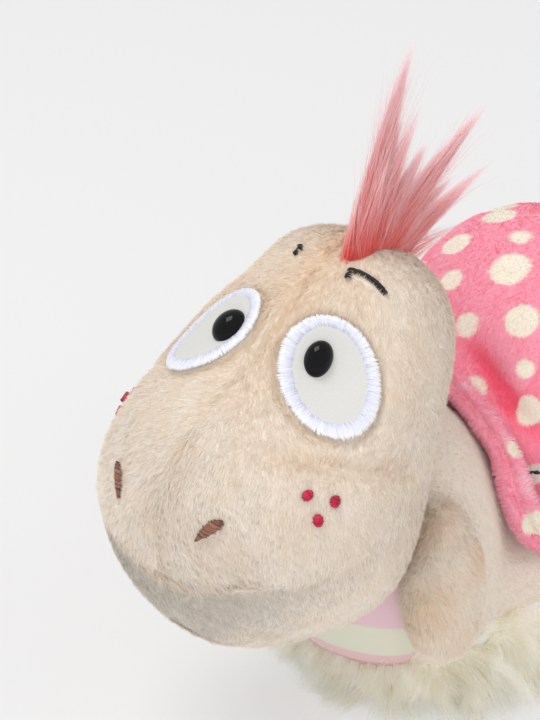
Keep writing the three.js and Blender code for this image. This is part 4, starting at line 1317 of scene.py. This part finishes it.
# Arms: two small stuffed paws of beige plush in knitted rows, hung by a seam on each shoulder and
# fuller at the end.
arm_half = np.array([0.011, 0.013, 0.0235])
paw_swell = 0.0018
arm_warmth = 0.50
arm_row_height = 0.0019
# Painted light: the arm's fibres are a little lighter than the beige, to make up for the head's shadow on
# the arm.
arm_lightened_tints = np.minimum(beige_tints * 1.06, 1)
arm_turn, shoulder_rise = 62.0, 33.0
arm_splay, arm_forward = math.radians(9), math.radians(8)
shoulder = chest_surface(np.array([arm_turn]), np.array([shoulder_rise]), np.zeros(1))[0]


def hung_from_shoulder(local, side):
    """From the upright left arm to the arm as it hangs, on either side."""
    x, y, z = local.T
    cosine, sine = math.cos(-arm_splay), math.sin(-arm_splay)
    x, z = x * cosine + z * sine, z * cosine - x * sine
    cosine, sine = math.cos(-arm_forward), math.sin(-arm_forward)
    y, z = y * cosine - z * sine, y * sine + z * cosine
    return (np.stack([x, y, z], 1) + shoulder) * np.array([side, 1, 1])


def arm_place(side):
    def place(points):
        swell = 1 - paw_swell * points[:, 2] / arm_half[1]
        local = points * (arm_half - pile_stand) * np.stack([swell, swell, np.ones(len(points))], 1)
        local += np.array([arm_half[0] * 0.55, 0, -arm_half[2] * 0.82])
        return hung_from_shoulder(local, side)
    return place


for side, side_name in both_sides:
    arm_form = bmesh.new()
    bmesh.ops.create_icosphere(arm_form, subdivisions=5, radius=1)
    moved(arm_form, arm_place(side))
    arm_body = f"{side_name}_arm"
    arm = made_piece(
        f"{side_name}_arm_cloth", arm_form, beige_cloth, arm_body, "beige_plush", f"{side_name}_arm_cover",
    )
    shoulder_side = shoulder * np.array([side, 1, 1])
    stuffed_tight(arm, lambda p: np.linalg.norm(p - shoulder_side, axis=1) < 0.006, 2.0, 0.0008)
    arm.data.shade_smooth()
    coloured(arm, beige_at(np.full(len(arm.data.vertices), arm_warmth)))
    arm_rng = np.random.default_rng(101 + side)
    arm_roots, arm_facing = roots_on(arm, int(46000 * full_share), arm_rng)
    arm_comb = np.array([0.25 * side, 0.1, -1.0]) + 0.16 * drift(arm_roots, 0.02, 102)
    arm_sway = 1.6 * drift(arm_roots, 0.012, 105)[:, 0]
    arm_rows = np.sin(2 * math.pi * arm_roots[:, 2] / arm_row_height + arm_sway)
    arm_lean, arm_length = 60 + 12 * arm_rows, 0.0022 * (1 + 0.25 * arm_rows)
    arm_tips, arm_flat = combed(
        arm_roots, arm_facing, arm_comb, arm_lean, arm_length, 0.11, 103, arm_rng,
    )
    arm_tint = beige_tint(arm_roots, arm_warmth, 104, arm_rng)
    # Painted shade: some fibres in the troughs between the knitted rows take the darkened lots.
    arm_shaded = (arm_rows < -0.3) & (arm_rng.random(len(arm_roots)) < 0.12)
    arm_shade_lot = beige_steps + arm_rng.integers(0, shade_steps, len(arm_roots))
    arm_tint = np.where(arm_shaded, arm_shade_lot, arm_tint)
    fibres(
        f"{side_name}_arm_pile", np.stack([arm_roots, arm_tips], 1), arm_flat, 0.00022, arm_tint,
        arm_lightened_tints, beige_fibre, arm_body,
    )


# Shell cloth: a broad band and two round side panels of pink plush with cream dots, stuffed into a
# fat wheel and sewn down on the back behind a rolled rim.
shell_middle = np.array([0.0, 0.024, 0.067])
shell_radius = 0.051
shell_half_width = 0.041
shell_fullness = 3.3
side_panel_radius = 0.047
side_from = 0.018
rim_half_width = 0.036
rim_top, rim_side, rim_end = 0.088, 0.044, 0.035
rim_stand_off = 0.002
dot_sizes = (0.0058, 0.0034, 0.0047)
dot_edge = 0.0007
# each dot: place across the shell, angle round it from the front over the top, radius
seen_dots = [
    (0.0022, 65, 0.0062), (0.0160, 50, 0.0052), (-0.0040, 79, 0.0034), (-0.0185, 87, 0.0054),
    (-0.0207, 67, 0.0048), (-0.0121, 53, 0.0037), (0.0006, 41, 0.0042), (0.0118, 25, 0.0046),
    (0.0281, 22, 0.0052), (0.0237, 36, 0.0030), (0.0325, -2, 0.0036), (0.0180, 76, 0.0045),
    (0.0290, 60, 0.0034), (-0.0290, 52, 0.0046), (-0.0250, 32, 0.0040), (-0.0060, 18, 0.0036),
]


def shell_ring_at(across):
    """Radius of the shell at a place across it."""
    return shell_radius * (1 - (abs(across) / shell_half_width) ** shell_fullness) ** (1 / shell_fullness)


def rim_front_at(across, height):
    """Where the rim's line lies in front of the shell, at a place across it and a height."""
    depth = math.sqrt(shell_ring_at(across) ** 2 - (height - shell_middle[2]) ** 2)
    return shell_middle[1] - depth - rim_stand_off


rim_front = shell_middle[1] - shell_radius - rim_stand_off
rim_back = shell_middle[1] + 0.82 * shell_radius
rim_shoulder, rim_shoulder_top = 0.66 * rim_half_width, rim_top - 0.011
rim_half_line = np.array([
    (0, rim_front_at(0, rim_top), rim_top),
    (rim_shoulder, rim_front_at(rim_shoulder, rim_shoulder_top), rim_shoulder_top),
    (0.95 * rim_half_width, rim_front + 0.003, rim_top - 0.028),
    (1.02 * rim_half_width, rim_front + 0.013, rim_side + 0.002),
    (rim_half_width, rim_front + 0.037, rim_side - 0.004),
    (0.88 * rim_half_width, rim_back - 0.030, rim_end + 0.003),
    (0.52 * rim_half_width, rim_back - 0.007, rim_end),
    (0, rim_back, rim_end),
])


def shell_polar(points):
    """Angle from the front over the top, in degrees, and distance from the shell's axis."""
    y, z = points[:, 1] - shell_middle[1], points[:, 2] - shell_middle[2]
    return np.degrees(np.arctan2(z, -y)), np.hypot(y, z)


def shell_spot(across, ring, angle):
    """A place across the shell, off its axis and round it from the front over the top."""
    turn = math.radians(angle)
    return shell_middle + np.array([across, -ring * math.cos(turn), ring * math.sin(turn)])


def dot_places():
    """Centres and radii of all the dots: those listed, and even rows over the back and the sides."""
    band = list(seen_dots)
    for row, angle in enumerate(range(97, 200, 19)):
        for column in range(3):
            across = -0.025 + 0.019 * column + (0.010 if row % 2 else 0.0)
            band.append((across, angle, dot_sizes[(2 * row + column) % 3]))
    places = [(shell_spot(across, shell_ring_at(across), angle), radius) for across, angle, radius in band]
    for side, _ in both_sides:
        for ring, count, start in ((0.034, 7, 40), (0.017, 4, 75), (0.0, 1, 0)):
            across = shell_half_width * (1 - (ring / shell_radius) ** shell_fullness) ** (1 / shell_fullness)
            for index in range(count):
                spot = shell_spot(side * across, ring, start + 360 * index / count)
                places.append((spot, dot_sizes[(index + count) % 3]))
    return places


def on_dots(points, places):
    """How far points lie on a dot: 1 well inside, 0 well outside, and between on its edge."""
    share = np.zeros(len(points))
    for centre, radius in places:
        inside = (radius - np.linalg.norm(points - centre, axis=1)) / dot_edge
        share = np.maximum(share, np.clip(inside + 0.5, 0, 1))
    return share


def dotted(pink, share):
    """Colours of the cloth with cream dots printed on its pink."""
    return pink * (1 - share[:, None]) + linear(250, 243, 226) * share[:, None]


shell_dots = dot_places()
profile_steps = 36
profile_power = 2 / shell_fullness
shell_steps = 96
shell_stand = 0.0011
shell_line = []
for step in range(profile_steps + 1):
    angle = math.pi * step / profile_steps
    radius = (shell_radius - shell_stand) * max(math.sin(angle), 0) ** profile_power
    across = math.copysign(abs(math.cos(angle)) ** profile_power, math.cos(angle))
    across *= shell_half_width - shell_stand
    shell_line.append((across, -radius if 0 < step < profile_steps else 0, 0))
shell_form = spun_line(shell_line, (1, 0, 0), shell_steps)


def rim_height_at(y):
    """Height of the rim's line along the side of the shell."""
    line = rim_half_line[2:]
    return np.interp(y, line[:, 1], line[:, 2])


def shell_fold(points):
    """Depth of the deep folds where the shell is gathered behind the rim."""
    angle, _ = shell_polar(points)
    near = hump(points[:, 0], 0.013 - 0.0011 * (angle - 30), 0.0060) * hump(angle, 28, 11)
    far = hump(points[:, 0], -0.015, 0.010) * hump(angle, 24, 9)
    return 0.0062 * near + 0.0035 * far


def shell_place(points):
    """Sets the wheel on the back, drawn in under the rim and folded behind it."""
    points = points + shell_middle
    under = np.clip((rim_height_at(points[:, 1]) + 0.003 - points[:, 2]) / 0.010, 0, 1)
    points[:, 0] *= 1 - 0.28 * under
    return points - unit(points - shell_middle) * shell_fold(points)[:, None]


moved(shell_form, shell_place)
pink_cloth = plush_finish("pink_cloth", 1100, (0.97, 0.90, 0.93), 0.0003)
shell_cloth = made_piece(
    "shell_cloth", shell_form, pink_cloth, "torso", "pink_plush", "shell_band", "left_shell_side",
    "right_shell_side",
)


def on_side_panel(points):
    """Which points lie on one of the two round side panels."""
    _, ring = shell_polar(points)
    return (ring < side_panel_radius - shell_stand) & (np.abs(points[:, 0]) > side_from)


def shell_seams(points):
    """Which points a seam holds: those round the side panels, and those sewn down under the rim."""
    _, ring = shell_polar(points)
    round_side = np.abs(ring - (side_panel_radius - shell_stand)) < 0.0010
    round_side &= np.abs(points[:, 0]) > side_from
    return round_side | (points[:, 2] < rim_height_at(points[:, 1]))


def pink_at(hot):
    """The pink plush, from its plain colour to a deeper pink that paints shade."""
    hot = np.clip(hot, 0, 1)[:, None]
    return linear(255, 170, 191) * (1 - hot) + linear(255, 108, 138) * hot


def shell_painted_shade(points):
    """How deep the painted shade in the pink is: plain on the band, deeper on the side panels, where less
    light falls, and deepest in the folds.
    """
    return 0.06 + 0.30 * on_side_panel(points) + 1.1 * np.clip(shell_fold(points) / 0.0055, 0, 1)


stuffed_tight(shell_cloth, shell_seams, 3.0, 0.0018, 2)
shell_cloth.data.shade_smooth()
shell_points = points_of(shell_cloth.data)
# Painted shade deepens the pink on the side panels and in the folds; the cream dots are printed.
coloured(shell_cloth, dotted(pink_at(shell_painted_shade(shell_points)), on_dots(shell_points, shell_dots)))

shell_rng = np.random.default_rng(111)
shell_roots, shell_facing = roots_on(shell_cloth, int(170000 * full_share), shell_rng)
above_rim = shell_roots[:, 2] > rim_height_at(shell_roots[:, 1]) - 0.002
shell_roots, shell_facing = shell_roots[above_rim], shell_facing[above_rim]
_, shell_ring = shell_polar(shell_roots)
shell_round = unit(np.cross([1, 0, 0], shell_roots - shell_middle))
shell_comb = np.where(on_side_panel(shell_roots)[:, None], np.array([0.0, 0.5, -1.0]), shell_round)
shell_comb = shell_comb + 0.3 * drift(shell_roots, 0.025, 112)
seam_gap = hump(shell_ring, side_panel_radius - shell_stand, 0.0016)
seam_gap *= np.abs(shell_roots[:, 0]) > side_from
shell_length = 0.0012 * (1 - 0.3 * seam_gap - 0.3 * on_dots(shell_roots, shell_dots))
shell_tips, shell_flat = combed(
    shell_roots, shell_facing, shell_comb, 66 - 14 * seam_gap, shell_length, 0.09, 113, shell_rng,
)
# The pink lots run from plain to deeper pink, which paints shade, and each tip is a little lighter than its
# root, painted shade deep in the pile. The cream lots are the printed dots, and the glint lots are painted
# highlights for the rim.
pink_steps, cream_steps, glint_steps = 10, 6, 3
pink_lots = pink_at(np.linspace(0, 1, pink_steps))
pink_tints = np.stack([pink_lots, np.minimum(pink_lots * 1.08 + 0.03, 1)], 1)
cream_tints = tints(linear(248, 240, 220), linear(255, 251, 240), cream_steps, 0.03, shell_rng)
glint_tints = tints(linear(255, 200, 214), linear(255, 240, 244), glint_steps, 0.02, shell_rng)
shell_tints = np.concatenate([pink_tints, cream_tints, glint_tints])
pink_fibre = fibre_finish("pink_fibre", 0.8, 0.3, 0.1)


def pink_tint(points, hot, seed, rng):
    """Which lot of the pink plush each fibre is of, deeper pink where shade is painted."""
    mixed = hot + 0.06 * drift(points, 0.012, seed)[:, 0] + rng.normal(0, 0.1, len(points))
    return np.clip(np.rint(mixed * (pink_steps - 1)), 0, pink_steps - 1).astype(int)


# Painted shade: fibres on the side panels and in the folds take deeper pink lots.
shell_tint = pink_tint(shell_roots, shell_painted_shade(shell_roots), 114, shell_rng)
shell_cream = on_dots(0.5 * shell_roots + 0.5 * shell_tips, shell_dots)
shell_cream = shell_cream > shell_rng.uniform(0.3, 0.7, len(shell_roots))
cream_lot = pink_steps + shell_rng.integers(0, cream_steps, len(shell_roots))
shell_tint = np.where(shell_cream, cream_lot, shell_tint)
shell_on_left = shell_roots[:, 0] > 0.0
for part_name, part in (("left_shell_pile", shell_on_left), ("right_shell_pile", ~shell_on_left)):
    fibres(
        part_name, np.stack([shell_roots[part], shell_tips[part]], 1), shell_flat[part], 0.00019,
        shell_tint[part], shell_tints, pink_fibre, "torso",
    )


# Shell rim: the shell's edge rolled over a stuffed cord of cloth, with a crease along the roll. It has
# dots and pile of its own.
rim_radius = 0.0056
rim_stand = 0.0010
rim_crease_at = 8.0


def closed_line(points, count):
    """Even points along a smooth closed line through the given ones."""
    dense = []
    total = len(points)
    for index in range(total):
        before, here, there, after = (points[(index + step - 1) % total] for step in range(4))
        for share in np.linspace(0, 1, 24, endpoint=False):
            pull = 0.5 * (there - before), 0.5 * (after - here)
            dense.append(
                here * (2 * share ** 3 - 3 * share ** 2 + 1) + there * (3 * share ** 2 - 2 * share ** 3)
                + pull[0] * (share ** 3 - 2 * share ** 2 + share) + pull[1] * (share ** 3 - share ** 2)
            )
    dense = np.array(dense + dense[:1])
    run = np.concatenate([[0], np.cumsum(np.linalg.norm(np.diff(dense, axis=0), axis=1))])
    even = np.linspace(0, run[-1], count, endpoint=False)
    return np.stack([np.interp(even, run, dense[:, axis]) for axis in range(3)], 1)


rim_steps = 160
rim_other_half = rim_half_line[-2:0:-1] * np.array([-1, 1, 1])
rim_line = closed_line(np.concatenate([rim_half_line, rim_other_half]), rim_steps)
rim_ahead = unit(np.roll(rim_line, -1, 0) - np.roll(rim_line, 1, 0))
rim_middle = np.array([0, (rim_front + rim_back) / 2, (rim_top + rim_end) / 2])
rim_outward = rim_line - rim_middle
rim_outward = unit(rim_outward - rim_ahead * (rim_outward * rim_ahead).sum(1)[:, None])
rim_over = np.cross(rim_outward, rim_ahead)
rim_slim = 1 - 0.26 * np.clip((rim_line[:, 2] - 0.066) / 0.018, 0, 1)

rim_form = bmesh.new()
rim_circle = bmesh.ops.create_circle(rim_form, segments=20, radius=0.1)["verts"]
bmesh.ops.rotate(
    rim_form, verts=rim_circle, cent=(0, 0, 0), matrix=Matrix(((1, 0, 0), (0, 0, -1), (0, 1, 0))),
)
bmesh.ops.translate(rim_form, verts=rim_circle, vec=(1, 0, 0))
rim_form = spun(rim_form, (0, 0, 1), rim_steps)


def rim_place(points):
    """Bends a plain ring along the rim's line, creased and a little uneven."""
    turn = np.arctan2(points[:, 1], points[:, 0])
    station = np.rint(turn / (2 * math.pi) * rim_steps).astype(int) % rim_steps
    out = (np.hypot(points[:, 0], points[:, 1]) - 1) * 10
    over = points[:, 2] * 10
    section = np.degrees(np.arctan2(over, out))
    girth = 1 - 0.55 * hump(section, rim_crease_at, 17)
    girth += 0.05 * np.sin(station * 0.55) * np.cos(station * 0.23)
    reach = (rim_radius - rim_stand) * girth * rim_slim[station]
    place = rim_line[station] + rim_outward[station] * (out * reach)[:, None]
    return place + rim_over[station] * (over * reach)[:, None]


moved(rim_form, rim_place)
rim_cloth = made_piece("rim_cloth", rim_form, pink_cloth, "torso", "pink_plush", "shell_rim")
stuffed_tight(rim_cloth, lambda p: np.zeros(len(p), bool), 1.0, 0.0006)
rim_cloth.data.shade_smooth()

# each dot on the rim: share of the way round, place round the roll in degrees, radius
rim_dot_rows = [
    (0.158, 38, 0.0044), (0.094, 66, 0.0026), (0.245, 60, 0.0040), (0.330, 80, 0.0046),
    (0.430, 70, 0.0038), (0.530, 85, 0.0044), (0.640, 70, 0.0036), (0.740, 60, 0.0044),
    (0.835, 40, 0.0042), (0.930, 50, 0.0034),
]


def rim_spot(along, section):
    """A place on the roll: share of the way round the rim, and degrees round the roll."""
    station = int(along * rim_steps)
    turn = math.radians(section)
    out = rim_outward[station] * math.cos(turn) + rim_over[station] * math.sin(turn)
    return rim_line[station] + out * (rim_radius - rim_stand)


rim_dots = [(rim_spot(along, section), radius) for along, section, radius in rim_dot_rows]
rim_points = points_of(rim_cloth.data)
coloured(rim_cloth, dotted(pink_at(np.zeros(len(rim_points))), on_dots(rim_points, rim_dots)))

rim_rng = np.random.default_rng(121)
rim_roots, rim_facing = roots_on(rim_cloth, int(52000 * full_share), rim_rng)
rim_station = np.empty(len(rim_roots), int)
for start in range(0, len(rim_roots), 8000):
    away = np.linalg.norm(rim_roots[start:start + 8000, None] - rim_line, axis=2)
    rim_station[start:start + 8000] = away.argmin(1)
rim_arm = rim_roots - rim_line[rim_station]
rim_out = (rim_arm * rim_outward[rim_station]).sum(1)
rim_up = (rim_arm * rim_over[rim_station]).sum(1)
rim_section = np.degrees(np.arctan2(rim_up, rim_out))
in_crease = hump(rim_section, rim_crease_at, 15)
rim_comb = rim_outward[rim_station] * -0.4
rim_comb -= rim_over[rim_station] * np.sign(rim_crease_at - rim_section)[:, None]
rim_comb = rim_comb + np.array([0.0, 0.1, -0.5]) + 0.4 * drift(rim_roots, 0.02, 122)
rim_length = 0.0018 * (1 - 0.6 * in_crease)
rim_tips, rim_flat = combed(rim_roots, rim_facing, rim_comb, 58, rim_length, 0.2, 123, rim_rng)
# Painted shade: the pink deepens in the crease and a little on the outer lip.
rim_painted_shade = -0.2 + 0.2 * (rim_section < rim_crease_at) + 1.1 * in_crease
rim_tint = pink_tint(rim_roots, rim_painted_shade, 124, rim_rng)
rim_cream = on_dots(0.5 * (rim_roots + rim_tips), rim_dots)
rim_cream = rim_cream > rim_rng.uniform(0.3, 0.7, len(rim_roots))
# Painted highlights: paler fibres in patches along the roll stand for glints of light on the pile.
glint = hump(rim_section, 45, 30) * np.clip(0.65 + drift(rim_roots, 0.007, 125)[:, 0], 0, 1)
glints = rim_rng.random(len(rim_roots)) < glint
glint_lot = pink_steps + cream_steps + rim_rng.integers(0, glint_steps, len(rim_roots))
rim_tint = np.where(glints, glint_lot, rim_tint)
cream_lot = pink_steps + rim_rng.integers(0, cream_steps, len(rim_roots))
rim_tint = np.where(rim_cream, cream_lot, rim_tint)
fibres(
    "rim_pile", np.stack([rim_roots, rim_tips], 1), rim_flat, 0.00022, rim_tint, shell_tints, pink_fibre,
    "torso",
)


# Spiral line: dark thread sewn on each side panel, from the rim under and round to the middle. A second,
# uneven row of stitches goes over the first.
spiral_start, spiral_end = 0.046, 0.006
spiral_turns, spiral_lift, spiral_fall = 1.6, 0.012, 0.36
spiral_share = np.linspace(0, 1, 150) ** 2
spiral_inward = spiral_share ** spiral_fall
spiral_reach = spiral_start + (spiral_end - spiral_start) * spiral_inward
spiral_angle = math.pi + 2 * math.pi * spiral_turns * spiral_share
spiral_back = spiral_reach * np.cos(spiral_angle)
spiral_high = spiral_lift * spiral_inward + spiral_reach * np.sin(spiral_angle)
spiral_run = np.concatenate([[0], np.cumsum(np.hypot(np.diff(spiral_back), np.diff(spiral_high)))])
stitch_count = 110
stitch_slip = 0.0003
thread_lift = 0.0004
stitch_at = np.linspace(0.0, spiral_run[-1], stitch_count + 1)
stitch_line = np.stack([np.interp(stitch_at, spiral_run, line) for line in (spiral_back, spiral_high)], 1)


def laid_on_side(side):
    """Lays points on a shell side: x back, y up and z off the cloth."""
    def lay(flat):
        lift = flat[:, 2] + thread_lift
        ring = np.hypot(flat[:, 0], flat[:, 1])
        full = np.clip(1 - (ring / shell_radius) ** shell_fullness, 1e-3, 1)
        across = shell_half_width * full ** (1 / shell_fullness)
        slope = (ring / shell_radius) ** (shell_fullness - 1) * shell_half_width / shell_radius
        slope = slope * full ** (1 / shell_fullness - 1)
        tilt = np.arctan(slope)
        spread = 1 + np.sin(tilt) * lift / np.maximum(ring, 1e-6)
        out = across + np.cos(tilt) * lift
        return np.stack([side * out, flat[:, 0] * spread, flat[:, 1] * spread], 1) + shell_middle
    return lay


for side, side_name in both_sides:
    spiral_rng = np.random.default_rng(131)
    starts, ends = stitch_line[:-1], stitch_line[1:]
    starts = np.concatenate([starts, starts + spiral_rng.normal(0, stitch_slip, starts.shape)])
    ends = np.concatenate([ends, ends + spiral_rng.normal(0, stitch_slip, ends.shape)])
    sewn(
        f"{side_name}_spiral_stitching", starts, ends, laid_on_side(side), 0.0009, 0.0006,
        spiral_rng.integers(0, 3, len(starts)), black_tints, mark_thread, "torso", "black_thread",
        f"{side_name}_spiral_stitch",
    )


# Fillings: loose white fibre packed into the head, the body, the shell and both arms. Each is its solid,
# drawn in a little to stay inside the cloth.
fibre_fill, fill_tree, fill_shader = finish_of("fibre_fill", linear(240, 239, 234), 1.0, 0.3)
raised(fill_tree, fill_shader, noise_on(fill_tree, 420, 6), 1.0, 0.001)
fill_slack = 0.0025
for fill_name, fill_body in (
    ("head_filling", "head"), ("body_filling", "torso"), ("shell_filling", "torso"),
    ("left_arm_filling", "left_arm"), ("right_arm_filling", "right_arm"),
):
    fill_form = bmesh.new()
    fill_form.from_mesh(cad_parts[fill_name].data)
    bmesh.ops.remove_doubles(fill_form, verts=fill_form.verts, dist=1e-6)
    fill_form.normal_update()
    for corner in fill_form.verts:
        corner.co -= corner.normal * fill_slack
    made_piece(f"{fill_name}_fibre", fill_form, fibre_fill, fill_body, "stuffing", fill_name)
